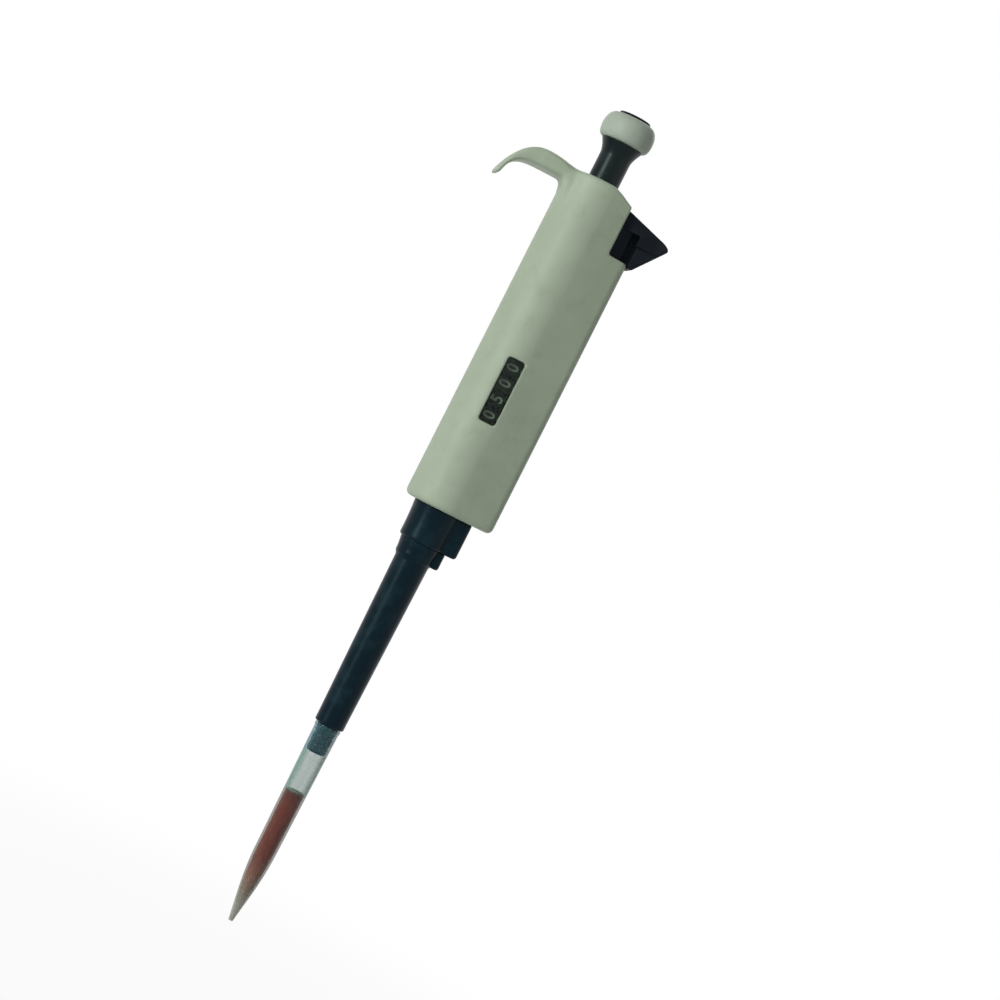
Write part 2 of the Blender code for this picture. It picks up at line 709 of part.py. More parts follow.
def cover_screw(name, height):
    """A pan-head screw with a cross slot."""
    seat = screw_seat()
    centre = (COVER_SCREW_REACH, height)
    screw = y_disc(name, SCREW_SHANK_RADIUS, seat - SCREW_SHANK_LENGTH, seat + OVERLAP, centre, STEEL)
    head = y_disc(name + "_head", SCREW_HEAD_RADIUS, seat, seat + SCREW_HEAD_THICK, centre, STEEL, 20)
    join(screw, head)
    slot = 0.0003
    arm = SCREW_HEAD_RADIUS * 0.6
    depth = seat + SCREW_HEAD_THICK
    x, z = centre
    cut(
        screw,
        block(name + "_slot_a", (x - arm, depth - 0.0006, z - slot), (x + arm, depth + CUT_PAST, z + slot), STEEL),
        block(name + "_slot_b", (x - slot, depth - 0.0006, z - arm), (x + slot, depth + CUT_PAST, z + arm), STEEL),
    )


def make_window():
    """The clear counter window, with a flange behind the handle's wall."""
    width = WINDOW_WIDTH / 2 - GAP
    length = WINDOW_LENGTH / 2 - GAP
    back = -WHEEL_RADIUS - GAP - LENS_FLANGE_THICK
    window = block(
        "counter_window",
        (-width, -HANDLE_RADIUS, WINDOW_CENTRE - length),
        (width, back + OVERLAP / 2, WINDOW_CENTRE + length),
        CLEAR,
    )
    front = disc(
        "window_front", HANDLE_RADIUS - GAP, WINDOW_CENTRE - length - 0.004, WINDOW_CENTRE + length + 0.004, CLEAR,
        steps=FINE_STEPS,
    )
    change(window, front, "INTERSECT")
    flange = block(
        "window_flange",
        (-width - LENS_FLANGE, back, WINDOW_CENTRE - length - LENS_FLANGE / 4),
        (width + LENS_FLANGE, back + LENS_FLANGE_THICK, WINDOW_CENTRE + length + LENS_FLANGE / 4),
        CLEAR,
    )
    join(window, flange)


def make_button():
    """The button, its cap, the sleeve under it and the hexagonal rod that goes down to the piston carrier."""
    top = BUTTON_BOTTOM + BUTTON_HEIGHT
    rod_half = ROD_FLATS / 2 / math.cos(math.pi / 6)
    rod_top = top - CAP_THICK - 0.0016
    bore = rod_half + RUNNING_GAP
    waist = BUTTON_BOTTOM + 0.45 * BUTTON_HEIGHT
    profile = [(bore, BUTTON_BOTTOM), (bore, rod_top + GAP), (0.0, rod_top + GAP)][::-1]
    outer = bezier(
        (BUTTON_FOOT_RADIUS, BUTTON_BOTTOM),
        (BUTTON_RADIUS - 0.0004, BUTTON_BOTTOM + 0.0004),
        (BUTTON_RADIUS, waist - 0.0022),
        (BUTTON_RADIUS, waist),
        5,
    )
    outer += bezier(
        (BUTTON_RADIUS, waist),
        (BUTTON_RADIUS, waist + 0.0026),
        (BUTTON_TOP_RADIUS + 0.0012, top),
        (BUTTON_TOP_RADIUS, top),
        6,
    )[1:]
    recess = CAP_RADIUS + RUNNING_GAP
    top_points = [(recess, top), (recess, top - CAP_THICK), (0.0, top - CAP_THICK)]
    turned("push_button", profile + outer + top_points, BUTTON_CREAM)
    cap_low = top - CAP_THICK + RUNNING_GAP
    turned(
        "button_cap",
        [(0.0, top + 0.0002), (CAP_RADIUS * 0.6, top + 0.0001), (CAP_RADIUS, top - 0.0002), (CAP_RADIUS, cap_low),
         (0.0, cap_low)],
        BLACK,
    )
    sleeve_top = BUTTON_BOTTOM - GAP
    turned(
        "plunger_sleeve",
        [
            (PLUNGER_SLEEVE_BORE, sleeve_top),
            *(
                (PLUNGER_SLEEVE_RADIUS + PLUNGER_FLARE * (1 - k / 6) ** 1.6, sleeve_top - FLARE_LENGTH * k / 6)
                for k in range(7)
            ),
            (PLUNGER_SLEEVE_RADIUS, PLUNGER_SLEEVE_BOTTOM),
            (PLUNGER_SLEEVE_BORE, PLUNGER_SLEEVE_BOTTOM),
        ],
        BLACK,
    )
    hexagon = arc((0.0, 0.0), rod_half, 0, 300, 5)
    rod = prism("control_rod", hexagon, CARRIER_TOP + GAP, rod_top, STEEL)
    join(rod, disc("rod_screw", SCREW_RADIUS, SCREW_BOTTOM, CARRIER_TOP + GAP + OVERLAP, STEEL, steps=16))


def make_stops():
    """The top bush, the stop collar, the two springs, the first-stop disc and their housing."""
    sleeve_bore = PLUNGER_SLEEVE_RADIUS + GAP
    neck = BORE_RADIUS_IN_ROOF - RUNNING_GAP
    flange_top = ROOF_BOTTOM - GAP
    mouth_top = HANDLE_TOP - 2 * GAP
    turned(
        "top_guide_bush",
        [
            (sleeve_bore, mouth_top - BUSH_MOUTH_DEPTH),
            (BUSH_MOUTH_RADIUS, mouth_top),
            (neck, mouth_top),
            (neck, flange_top),
            (BUSH_RADIUS, flange_top),
            (BUSH_RADIUS, flange_top - BUSH_FLANGE_THICK),
            (neck, flange_top - BUSH_FLANGE_THICK),
            (neck, BUSH_BOTTOM),
            (sleeve_bore, BUSH_BOTTOM),
        ],
        BLACK,
    )
    rod_bore = ROD_FLATS / 2 / math.cos(math.pi / 6) + GAP
    collar = turned(
        "stop_collar",
        [
            (rod_bore, STOP_HEAD_TOP),
            (STOP_HEAD_RADIUS, STOP_HEAD_TOP),
            (STOP_HEAD_RADIUS, STOP_HEAD_BOTTOM),
            (NOSE_RADIUS, STOP_HEAD_BOTTOM),
            (NOSE_RADIUS, NOSE_BOTTOM),
            (NOSE_BORE, NOSE_BOTTOM),
            (NOSE_BORE, STOP_HEAD_BOTTOM),
            (rod_bore, STOP_HEAD_BOTTOM),
        ],
        WHITE,
    )
    cut(collar, key_notch("collar_notch", STOP_HEAD_BOTTOM, STOP_HEAD_TOP))
    coil(
        "main_spring", MAIN_SPRING_RADIUS, MAIN_SPRING_WIRE, SPRING_SEAT, STOP_HEAD_BOTTOM, MAIN_SPRING_TURNS,
        SPRING_STEEL,
    )
    housing_bore = FRAME_RADIUS - HOUSING_WALL
    tube("first_stop_disc", DISC_BORE, housing_bore - GAP, DISC_TOP - DISC_THICK, DISC_TOP, STEEL)
    coil(
        "blow_out_spring", BLOW_OUT_SPRING_RADIUS, BLOW_OUT_SPRING_WIRE, SPRING_SEAT, DISC_TOP - DISC_THICK,
        BLOW_OUT_SPRING_TURNS, SPRING_STEEL, steps=14,
    )
    turned(
        "spring_housing",
        [
            (FRAME_RADIUS, HOUSING_TOP),
            (FRAME_RADIUS, HOUSING_BOTTOM),
            (rod_bore, HOUSING_BOTTOM),
            (rod_bore, SPRING_SEAT),
            (housing_bore, SPRING_SEAT),
            (housing_bore, HOUSING_TOP),
        ],
        WHITE,
    )
    tube(
        "housing_cap",
        NOSE_RADIUS + GAP,
        FRAME_RADIUS,
        HOUSING_CAP_BOTTOM,
        HOUSING_CAP_BOTTOM + HOUSING_CAP_THICK,
        BRASS,
    )


def gear_outline(teeth, fall, rise, tip_share, first_tooth):
    """A gear's outline with straight-sided teeth, its pitch circle set by the counter's module."""
    pitch = 2 * math.pi / teeth
    middle = GEAR_MODULE * teeth / 2
    root, tip = middle - fall * GEAR_MODULE, middle + rise * GEAR_MODULE
    outline = []
    for k in range(teeth):
        for share, radius in ((-0.52, root), (-tip_share, tip), (tip_share, tip), (0.52, root)):
            angle = first_tooth + pitch * (k + share / 2)
            outline.append((radius * math.cos(angle), radius * math.sin(angle)))
    return outline


def make_counter():
    """The counter's frame, drive sleeve, digit wheels, carry pinions and their axle."""
    low, high = FRAME_BOTTOM + PLATE_THICK, FRAME_TOP - PLATE_THICK
    frame = disc("counter_frame", FRAME_RADIUS, FRAME_BOTTOM, FRAME_TOP, WHITE)
    ear_reach = AXLE_REACH + AXLE_RADIUS + 0.0010
    ears = [
        block(name, (0.0, -0.0020, bottom), (ear_reach, 0.0020, bottom + PLATE_THICK), WHITE)
        for name, bottom in (("lower_ear", FRAME_BOTTOM), ("upper_ear", high))
    ]
    drive_bore = DRIVE_SLEEVE_RADIUS - 0.0004
    window_room = FRAME_RADIUS + CUT_PAST
    cut(
        frame,
        disc("wheel_room", FRAME_RADIUS - FRAME_WALL, low, high, WHITE, steps=FINE_STEPS),
        block("front_room", (-window_room, -window_room, low), (window_room, 0.0042, high), WHITE),
    )
    join(frame, *ears)
    cut(
        frame,
        disc("frame_bore", drive_bore + GAP, FRAME_BOTTOM - CUT_PAST, FRAME_TOP + CUT_PAST, WHITE),
        disc(
            "axle_bore",
            AXLE_RADIUS + RUNNING_GAP,
            FRAME_BOTTOM - CUT_PAST,
            FRAME_TOP + CUT_PAST,
            WHITE,
            (AXLE_REACH, 0.0, 0.0),
            12,
        ),
    )
    disc(
        "pinion_axle", AXLE_RADIUS, FRAME_BOTTOM + GAP, FRAME_TOP - GAP, STEEL, (AXLE_REACH, 0.0, 0.0), 12
    )

    sleeve = turned(
        "counter_drive_sleeve",
        [
            (0.0, FRAME_TOP - GAP),
            (drive_bore, FRAME_TOP - GAP),
            (drive_bore, high - GAP),
            (DRIVE_SLEEVE_RADIUS, high - GAP),
            (DRIVE_SLEEVE_RADIUS, low + GAP),
            (drive_bore, low + GAP),
            (drive_bore, FRAME_BOTTOM + GAP),
            (0.0, FRAME_BOTTOM + GAP),
        ],
        WHITE,
    )
    flats = ROD_FLATS / 2 / math.cos(math.pi / 6) + RUNNING_GAP
    hexagon = arc((0.0, 0.0), flats, 0, 300, 5)
    cut(sleeve, prism("hex_bore", hexagon, FRAME_BOTTOM - CUT_PAST, FRAME_TOP + CUT_PAST, WHITE))

    first = WINDOW_CENTRE - WHEEL_PITCH * (WHEEL_COUNT - 1) / 2
    for k, digit in enumerate(("thousands", "hundreds", "tens", "ones")):
        centre = first + k * WHEEL_PITCH
        rim_low, rim_high = centre - WHEEL_RIM / 2, centre + WHEEL_RIM / 2
        wheel = disc(digit + "_wheel", WHEEL_RADIUS, rim_low, rim_high, WHEEL_BLACK, steps=40)
        ring_top = rim_high
        if digit != "ones":
            ring_top = rim_high + RING_WIDTH
            outline = gear_outline(RING_TEETH, TOOTH_FALL, TOOTH_RISE, 0.28, math.pi / RING_TEETH)
            join(wheel, prism(digit + "_ring", outline, rim_high - OVERLAP, ring_top, WHEEL_BLACK))
            pinion_low = rim_high + (WHEEL_PITCH - WHEEL_RIM - PINION_WIDTH) / 2
            outline = gear_outline(PINION_TEETH, TOOTH_FALL, TOOTH_RISE, 0.2, 0.0)
            pinion = prism(
                "carry_pinion_" + digit, outline, pinion_low, pinion_low + PINION_WIDTH, BRASS,
                (AXLE_REACH, 0.0, 0.0),
            )
            bore = disc(
                digit + "_pinion_bore", AXLE_RADIUS + RUNNING_GAP, pinion_low - CUT_PAST,
                pinion_low + PINION_WIDTH + CUT_PAST, BRASS, (AXLE_REACH, 0.0, 0.0), 12,
            )
            cut(pinion, bore)
        bore = disc(digit + "_bore", DRIVE_SLEEVE_RADIUS + GAP, rim_low - CUT_PAST, ring_top + CUT_PAST, WHEEL_BLACK)
        cut(wheel, bore)


def make_piston():
    """The piston carrier, the piston with its rod, and the rings on it."""
    carrier = tube(
        "piston_carrier", SCREW_RADIUS + RUNNING_GAP, CARRIER_RADIUS, CARRIER_BOTTOM, CARRIER_TOP, BRASS
    )
    cut(carrier, key_notch("carrier_notch", CARRIER_BOTTOM, CARRIER_TOP))
    groove = PISTON_RADIUS - 0.0008
    ring_low = PISTON_BOTTOM + 0.0007
    seal_low = ring_low + RING_THICK + 0.0006
    rod_top = CARRIER_BOTTOM - GAP
    turned(
        "piston",
        [
            (0.0, PISTON_BOTTOM),
            (PISTON_RADIUS, PISTON_BOTTOM),
            (PISTON_RADIUS, ring_low - RUNNING_GAP),
            (groove, ring_low - RUNNING_GAP),
            (groove, ring_low + RING_THICK + RUNNING_GAP),
            (PISTON_RADIUS, ring_low + RING_THICK + RUNNING_GAP),
            (PISTON_RADIUS, seal_low - RUNNING_GAP),
            (groove, seal_low - RUNNING_GAP),
            (groove, seal_low + SEAL_THICK + RUNNING_GAP),
            (PISTON_RADIUS, seal_low + SEAL_THICK + RUNNING_GAP),
            (PISTON_RADIUS, PISTON_TOP),
            (PISTON_ROD_RADIUS, PISTON_TOP),
            (PISTON_ROD_RADIUS, rod_top),
            (SCREW_RADIUS + GAP, rod_top),
            (SCREW_RADIUS + GAP, SCREW_BOTTOM - 2 * GAP),
            (0.0, SCREW_BOTTOM - 2 * GAP),
        ],
        STEEL,
    )
    ring_outer = CYLINDER_RADIUS - RUNNING_GAP / 2
    mid = ring_low + RING_THICK / 2
    centre = (groove + RUNNING_GAP / 2 + ring_outer) / 2
    turned(
        "piston_o_ring",
        [
            (centre + (ring_outer - centre) * math.cos(a), mid + RING_THICK / 2 * math.sin(a))
            for a in (math.radians(45 * k + 22.5) for k in range(8))
        ],
        RUBBER,
    )
    tube("piston_seal", groove + RUNNING_GAP / 2, ring_outer, seal_low, seal_low + SEAL_THICK, WHITE)


def make_tip_cone():
    """The cylinder and its long nozzle in one piece, with the ring and nut that hold it to the handle."""
    shoulder = CYLINDER_BOTTOM - 0.0012
    neck = NOZZLE_ROOT_RADIUS + 0.0002
    turned(
        "tip_cone",
        [
            (CHANNEL_RADIUS, NOZZLE_END),
            (CHANNEL_RADIUS, CYLINDER_BOTTOM),
            (CYLINDER_RADIUS, CYLINDER_BOTTOM),
            (CYLINDER_RADIUS, CYLINDER_TOP),
            (CYLINDER_OUTER, CYLINDER_TOP),
            (CYLINDER_OUTER, FLANGE_TOP),
            (FLANGE_RADIUS, FLANGE_TOP),
            (FLANGE_RADIUS, FLANGE_BOTTOM),
            (CYLINDER_OUTER, FLANGE_BOTTOM),
            (CYLINDER_OUTER, shoulder),
            (neck, shoulder - 0.0040),
            (neck, TIP_LENGTH + 0.0080),
            (NOZZLE_ROOT_RADIUS, TIP_LENGTH),
            (NOZZLE_END_RADIUS, NOZZLE_END + 0.0006),
            (NOZZLE_END_RADIUS - 0.0005, NOZZLE_END),
        ],
        BLACK,
    )
    mid = CONE_RING_TOP - RING_THICK / 2
    centre = (SPIGOT_BORE + SPIGOT_RADIUS) / 2
    turned(
        "cone_o_ring",
        [
            (centre + RING_THICK / 2 * 0.8 * math.cos(a), mid + RING_THICK / 2 * math.sin(a))
            for a in (math.radians(45 * k + 22.5) for k in range(8))
        ],
        RUBBER,
    )
    nut = turned(
        "coupling_nut",
        [
            (NUT_RADIUS, SPIGOT_BOTTOM + NUT_ABOVE),
            (NUT_RADIUS, FLANGE_BOTTOM - GAP - NUT_LIP),
            (CYLINDER_OUTER + GAP, FLANGE_BOTTOM - GAP - NUT_LIP),
            (CYLINDER_OUTER + GAP, FLANGE_BOTTOM - GAP),
            (NUT_BORE, FLANGE_BOTTOM - GAP),
            (NUT_BORE, SPIGOT_BOTTOM + NUT_ABOVE),
        ],
        WHITE,
    )
    return nut


def lug_outline(reach, width):
    """A lug's plan, from the axis out to its reach, with a rounded end."""
    half = width / 2
    corner = half * 0.45
    return (
        [(0.0, -half)]
        + arc((reach - corner, -half + corner), corner, 270, 360, 3)
        + arc((reach - corner, half - corner), corner, 0, 90, 3)
        + [(0.0, half)]
    )


def tube_radius(height):
    """The ejector tube's outer radius at a height, on its straight taper."""
    share = (height - TUBE_END) / TUBE_LENGTH
    return TUBE_END_RADIUS + (TUBE_TOP_RADIUS - TUBE_END_RADIUS) * share


def make_ejector():
    """The ejector's lever, rod, spring, collar and long sleeve."""
    lever_form()
    bend_high, bend_low = HANDLE_BOTTOM + ROD_BEND_HIGH, HANDLE_BOTTOM + ROD_BEND_LOW
    bottom = HANDLE_BOTTOM - ROD_SOCKET + GAP
    top = LEVER_BLOCK_BOTTOM + 0.0070
    route = [(EJECTOR_ROD_REACH, top)]
    third = (bend_high - bend_low) * 0.45
    route += bezier(
        (EJECTOR_ROD_REACH, bend_high),
        (EJECTOR_ROD_REACH, bend_high - third),
        (ROD_LOW_REACH, bend_low + third),
        (ROD_LOW_REACH, bend_low),
        8,
    )
    route.append((ROD_LOW_REACH, bottom))
    curve = bpy.data.curves.new("ejector_rod", "CURVE")
    curve.dimensions = "3D"
    curve.bevel_depth = EJECTOR_ROD_RADIUS
    curve.bevel_resolution = 3
    curve.use_fill_caps = True
    spline = curve.splines.new("POLY")
    spline.points.add(len(route) - 1)
    for point, (x, height) in zip(spline.points, route):
        point.co = (x, 0.0, height, 1.0)
    curve.materials.append(STEEL)
    rod = bpy.data.objects.new("ejector_rod", curve)
    rod.parent = tip_end
    bpy.context.scene.collection.objects.link(rod)
    coil(
        "ejector_spring", EJECTOR_ROD_RADIUS + EJECTOR_SPRING_WIRE / 2 + GAP, EJECTOR_SPRING_WIRE, SHELF_TOP,
        LEVER_BLOCK_BOTTOM, EJECTOR_SPRING_TURNS, SPRING_STEEL, (EJECTOR_ROD_REACH, 0.0, 0.0), 10,
    )

    collar_top = HANDLE_BOTTOM - GAP
    room = COLLAR_RADIUS - COLLAR_WALL
    neck_radius = TUBE_TOP_RADIUS - 0.0002
    collar = disc("ejector_collar", COLLAR_RADIUS, COLLAR_BOTTOM, collar_top, BLACK)
    join(
        collar,
        prism("collar_lug", lug_outline(COLLAR_LUG_REACH, COLLAR_LUG_WIDTH), COLLAR_BOTTOM, collar_top, BLACK),
    )
    soften(collar, 0.0006, 1)
    cut(
        collar,
        disc("collar_room", room, COLLAR_BOTTOM + COLLAR_FLOOR, collar_top + CUT_PAST, BLACK),
        disc("collar_bore", neck_radius + GAP, COLLAR_BOTTOM - CUT_PAST, collar_top, BLACK),
        disc(
            "collar_socket",
            EJECTOR_ROD_RADIUS + RUNNING_GAP,
            HANDLE_BOTTOM - ROD_SOCKET,
            collar_top + CUT_PAST,
            BLACK,
            (ROD_LOW_REACH, 0.0, 0.0),
            12,
        ),
    )

    head_top = COLLAR_BOTTOM - GAP
    neck_top = COLLAR_BOTTOM + COLLAR_FLOOR - RUNNING_GAP
    bore_top = CYLINDER_OUTER + GAP
    end_bore = NOZZLE_ROOT_RADIUS + GAP
    narrow = tube_radius(TUBE_END + 0.008) - TUBE_WALL
    wide_from = CYLINDER_BOTTOM - EJECTOR_STROKE / 10
    sleeve = turned(
        "ejector_sleeve",
        [
            (neck_radius, neck_top),
            (neck_radius, head_top),
            (SLEEVE_HEAD_RADIUS, head_top),
            (SLEEVE_HEAD_RADIUS, HEAD_BOTTOM + 0.0012),
            (TUBE_TOP_RADIUS, HEAD_BOTTOM),
            (TUBE_END_RADIUS, TUBE_END + 0.0006),
            (TUBE_END_RADIUS - 0.0004, TUBE_END),
            (end_bore, TUBE_END),
            (end_bore, TUBE_END + 0.0040),
            (narrow, TUBE_END + 0.0070),
            (bore_top, wide_from - 0.0040),
            (bore_top, neck_top),
        ],
        BLACK,
    )
    lug = prism(
        "sleeve_lug", lug_outline(SLEEVE_LUG_REACH, SLEEVE_LUG_WIDTH), HEAD_BOTTOM + 0.0006, head_top, BLACK
    )
    cut(lug, disc("lug_room", SLEEVE_HEAD_RADIUS - OVERLAP, HEAD_BOTTOM - CUT_PAST, head_top + CUT_PAST, BLACK))
    join(sleeve, lug)


def lever_form():
    """The lever: a wedge for the thumb outside, a block that runs inside the handle, and a neck between them."""
    top = HANDLE_TOP - LEVER_TOP_DROP
    nose = HANDLE_TOP - LEVER_TIP_DROP
    foot = HANDLE_TOP - LEVER_FOOT_DROP
    inner = NOTCH_REACH + GAP
    outline = [
        (inner, LEVER_PLATE_BOTTOM),
        (inner, top),
        *bezier(
            (LEVER_TIP_REACH - 0.0042, nose + 0.0026),
            (LEVER_TIP_REACH - 0.0020, nose + 0.0021),
            (LEVER_TIP_REACH, nose + 0.0012),
            (LEVER_TIP_REACH, nose),
            4,
        ),
        (LEVER_TIP_REACH - 0.0006, nose - 0.0009),
        (LEVER_INNER_FACE + 0.0012, foot),
        (LEVER_INNER_FACE, foot),
        (LEVER_INNER_FACE, LEVER_PLATE_BOTTOM),
    ]
    lever = side_prism("ejector_lever", outline, LEVER_HALF_WIDTH, BLACK)
    soften(lever, LEVER_ROUND)
    join(
        lever,
        inside_strip(
            "lever_block", 2 * GAP, inner, LEVER_BLOCK_REACH, LEVER_BLOCK_BOTTOM, LEVER_PLATE_BOTTOM + OVERLAP
        ),
        block(
            "lever_neck",
            (LEVER_BLOCK_REACH - OVERLAP, -LEVER_NECK_HALF_WIDTH, LEVER_BLOCK_BOTTOM + 0.0014),
            (LEVER_INNER_FACE + OVERLAP, LEVER_NECK_HALF_WIDTH, LEVER_PLATE_BOTTOM + 2 * OVERLAP),
            BLACK,
        ),
    )
    pocket = [
        (LEVER_INNER_FACE + 0.0016, LEVER_PLATE_BOTTOM - 0.0006),
        (LEVER_INNER_FACE + 0.0016, foot + 0.0034),
        (LEVER_INNER_FACE + 0.0062, LEVER_PLATE_BOTTOM - 0.0006),
    ]
    near = LEVER_HALF_WIDTH - LEVER_POCKET_DEPTH / 2 + CUT_PAST / 2
    half = LEVER_POCKET_DEPTH / 2 + CUT_PAST / 2
    cut(
        lever,
        side_prism("front_pocket", pocket, half, BLACK, -near),
        side_prism("rear_pocket", pocket, half, BLACK, near),
        disc(
            "lever_socket",
            EJECTOR_ROD_RADIUS + RUNNING_GAP,
            LEVER_BLOCK_BOTTOM - CUT_PAST,
            LEVER_BLOCK_BOTTOM + 0.0070 + GAP,
            BLACK,
            (EJECTOR_ROD_REACH, 0.0, 0.0),
            12,
        ),
    )


def tip_radius(height):
    """The tip's outer radius: a fine point that swells to a waist, then a straight slow taper to the top."""
    if height >= TIP_WAIST_HEIGHT:
        share = (height - TIP_WAIST_HEIGHT) / (TIP_LENGTH - TIP_WAIST_HEIGHT)
        return TIP_WAIST_RADIUS + (TIP_TOP_RADIUS - TIP_WAIST_RADIUS) * share
    share = height / TIP_WAIST_HEIGHT
    swell = math.sin(share * math.pi / 2) ** 1.08
    return TIP_END_RADIUS + (TIP_WAIST_RADIUS - TIP_END_RADIUS) * swell


def make_tip():
    """The disposable tip and the sample drawn into it."""
    low_heights = [TIP_WAIST_HEIGHT * k / 9 for k in range(10)]
    end_wall = TIP_WALL * 0.6
    outer = [(tip_radius(h), h) for h in low_heights] + [(tip_radius(TIP_LENGTH - 0.0012), TIP_LENGTH - 0.0012)]
    outer += [(TIP_RIM_RADIUS, TIP_LENGTH - 0.0010), (TIP_RIM_RADIUS, TIP_LENGTH)]

    def bore(height):
        wall = end_wall + (TIP_WALL - end_wall) * min(1.0, height / TIP_WAIST_HEIGHT)
        return tip_radius(height) - wall

    mouth = max(bore(TIP_LENGTH), NOZZLE_ROOT_RADIUS + RUNNING_GAP)
    inner = [(mouth, TIP_LENGTH)] + [(bore(h), h) for h in reversed(low_heights)]
    turned("pipette_tip", outer + inner, TIP_CLEAR)
    start = 0.0015
    levels = [start + (SAMPLE_HEIGHT - start) * k / 9 for k in range(10)]
    thin = RUNNING_GAP / 2
    profile = [(0.0, start)] + [(bore(h) - thin, h) for h in levels] + [(0.0, SAMPLE_HEIGHT - 0.0006)]
    turned("sample_liquid", profile, SAMPLE_RED)


make_handle()
make_window()
make_button()
make_stops()
make_counter()
make_piston()
make_tip_cone()
make_ejector()
make_tip()
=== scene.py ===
from math import asin, atan2, cos, degrees, hypot, pi, radians, sin
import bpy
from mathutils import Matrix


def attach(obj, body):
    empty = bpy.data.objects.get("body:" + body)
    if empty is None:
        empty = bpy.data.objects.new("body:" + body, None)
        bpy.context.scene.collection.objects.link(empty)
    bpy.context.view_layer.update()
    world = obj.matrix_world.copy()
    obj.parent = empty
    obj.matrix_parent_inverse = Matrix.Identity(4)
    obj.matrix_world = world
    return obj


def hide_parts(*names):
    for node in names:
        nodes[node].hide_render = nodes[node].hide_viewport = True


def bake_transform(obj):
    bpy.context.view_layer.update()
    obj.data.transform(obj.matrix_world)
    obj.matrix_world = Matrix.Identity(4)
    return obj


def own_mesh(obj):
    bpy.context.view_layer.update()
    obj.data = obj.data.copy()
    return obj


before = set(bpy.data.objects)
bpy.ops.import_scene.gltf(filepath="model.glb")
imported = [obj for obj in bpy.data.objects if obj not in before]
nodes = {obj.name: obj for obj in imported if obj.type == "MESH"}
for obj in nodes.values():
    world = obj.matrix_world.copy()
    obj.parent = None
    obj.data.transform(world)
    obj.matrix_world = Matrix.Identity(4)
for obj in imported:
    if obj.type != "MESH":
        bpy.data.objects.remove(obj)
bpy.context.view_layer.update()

from types import SimpleNamespace

import bmesh
import bpy
import numpy as np
from mathutils import Matrix, Vector

print("frame loaded with", len(nodes), "nodes")

# Lengths are in millimetres. Heights run up from the end of the tip, x and y from the piston's axis.
axisPlace = np.array([18.0, 0.0, -268.0])
quarter = pi / 2


def setUp(thing, **settings):
    for key, value in settings.items():
        setattr(thing, key, value)
    return thing


class Wire:
    # a socket of a material; arithmetic on it adds Math nodes

    def __init__(self, socket):
        self.socket = socket
        self.tree = socket.id_data

    def make(self, kind, settings=None, sockets=None, output=0):
        # any shader node: its settings first, then the values or links of its sockets
        node = setUp(self.tree.nodes.new("ShaderNode" + kind), **(settings or {}))
        for key, value in (sockets or {}).items():
            if isinstance(value, Wire):
                self.tree.links.new(value.socket, node.inputs[key])
            else:
                node.inputs[key].default_value = value
        return Wire(node.outputs[output])

    def maths(self, operation, second=0, first=None, clamp=False):
        settings = {"operation": operation, "use_clamp": clamp}
        return self.make("Math", settings, {0: self if first is None else first, 1: second})

    def __add__(self, other):
        return self.maths("ADD", other)

    def __sub__(self, other):
        return self.maths("SUBTRACT", other)

    def __rsub__(self, other):
        return self.maths("SUBTRACT", self, other)

    def __mul__(self, other):
        return self.maths("MULTIPLY", other)

    def __pow__(self, other):
        return self.maths("POWER", other)

    __radd__ = __add__
    __rmul__ = __mul__

    def clamped(self):
        return self.maths("ADD", clamp=True)

    def between(self, low, high):
        # 0 below low, 1 above high, smooth between
        sockets = {"Value": self, "From Min": low, "From Max": high}
        return self.make("MapRange", {"interpolation_type": "SMOOTHSTEP"}, sockets)

    def noise(self, scale, detail=3, roughness=0.5):
        # self is a place
        sockets = {"Vector": self, "Scale": scale, "Detail": detail, "Roughness": roughness}
        return self.make("TexNoise", {}, sockets)

    def stretched(self, x, y, z):
        return self.make("Mapping", {}, {"Vector": self, "Scale": (x, y, z)})

    def along(self, axis):
        # self is a place; the result is a length as above
        part = self.make("SeparateXYZ", {}, {"Vector": self}, axis)
        return part * 1000 - axisPlace["XYZ".index(axis)]

    def pointiness(self):
        # above a half on outer edges, below it in hollows
        return self.make("NewGeometry", output="Pointiness")

    def blend(self, first, second):
        # self mixes two colours
        settings = {"data_type": "RGBA", "clamp_factor": True}
        return self.make("Mix", settings, {0: self, 6: colourOf(first), 7: colourOf(second)}, 2)

    def bump(self, strength, distance, under=None):
        # self is a height; under is a normal that it adds to
        sockets = {"Height": self, "Strength": strength, "Distance": distance * 0.001}
        if under is not None:
            sockets["Normal"] = under
        return self.make("Bump", {}, sockets)


def colourOf(value):
    return value if isinstance(value, Wire) else (*value, 1)


def seen(red, green, blue):
    # a colour on the screen, 0 to 255, turned to the linear values that the shader takes
    return tuple(((np.array([red, green, blue]) / 255) ** 2.2).tolist())


def named(sizes):
    # the values of a dictionary by their names: h.top for handleSize["top"]
    return SimpleNamespace(**sizes)


def scaled(colour, factor):
    return tuple(min(1, c * factor) for c in colour)


def newFinish(name, **constants):
    # a new material's place wire, and what feeds its shader
    material = bpy.data.materials.new(name)
    material.use_nodes = True
    shader = material.node_tree.nodes["Principled BSDF"]
    for key, value in constants.items():
        shader.inputs[key.replace("_", " ")].default_value = value

    def feed(**wires):
        for key, wire in wires.items():
            wire.tree.links.new(wire.socket, shader.inputs[key.replace("_", " ")])
        return material

    return Wire(shader.outputs[0]).make("TexCoord", output="Object"), feed


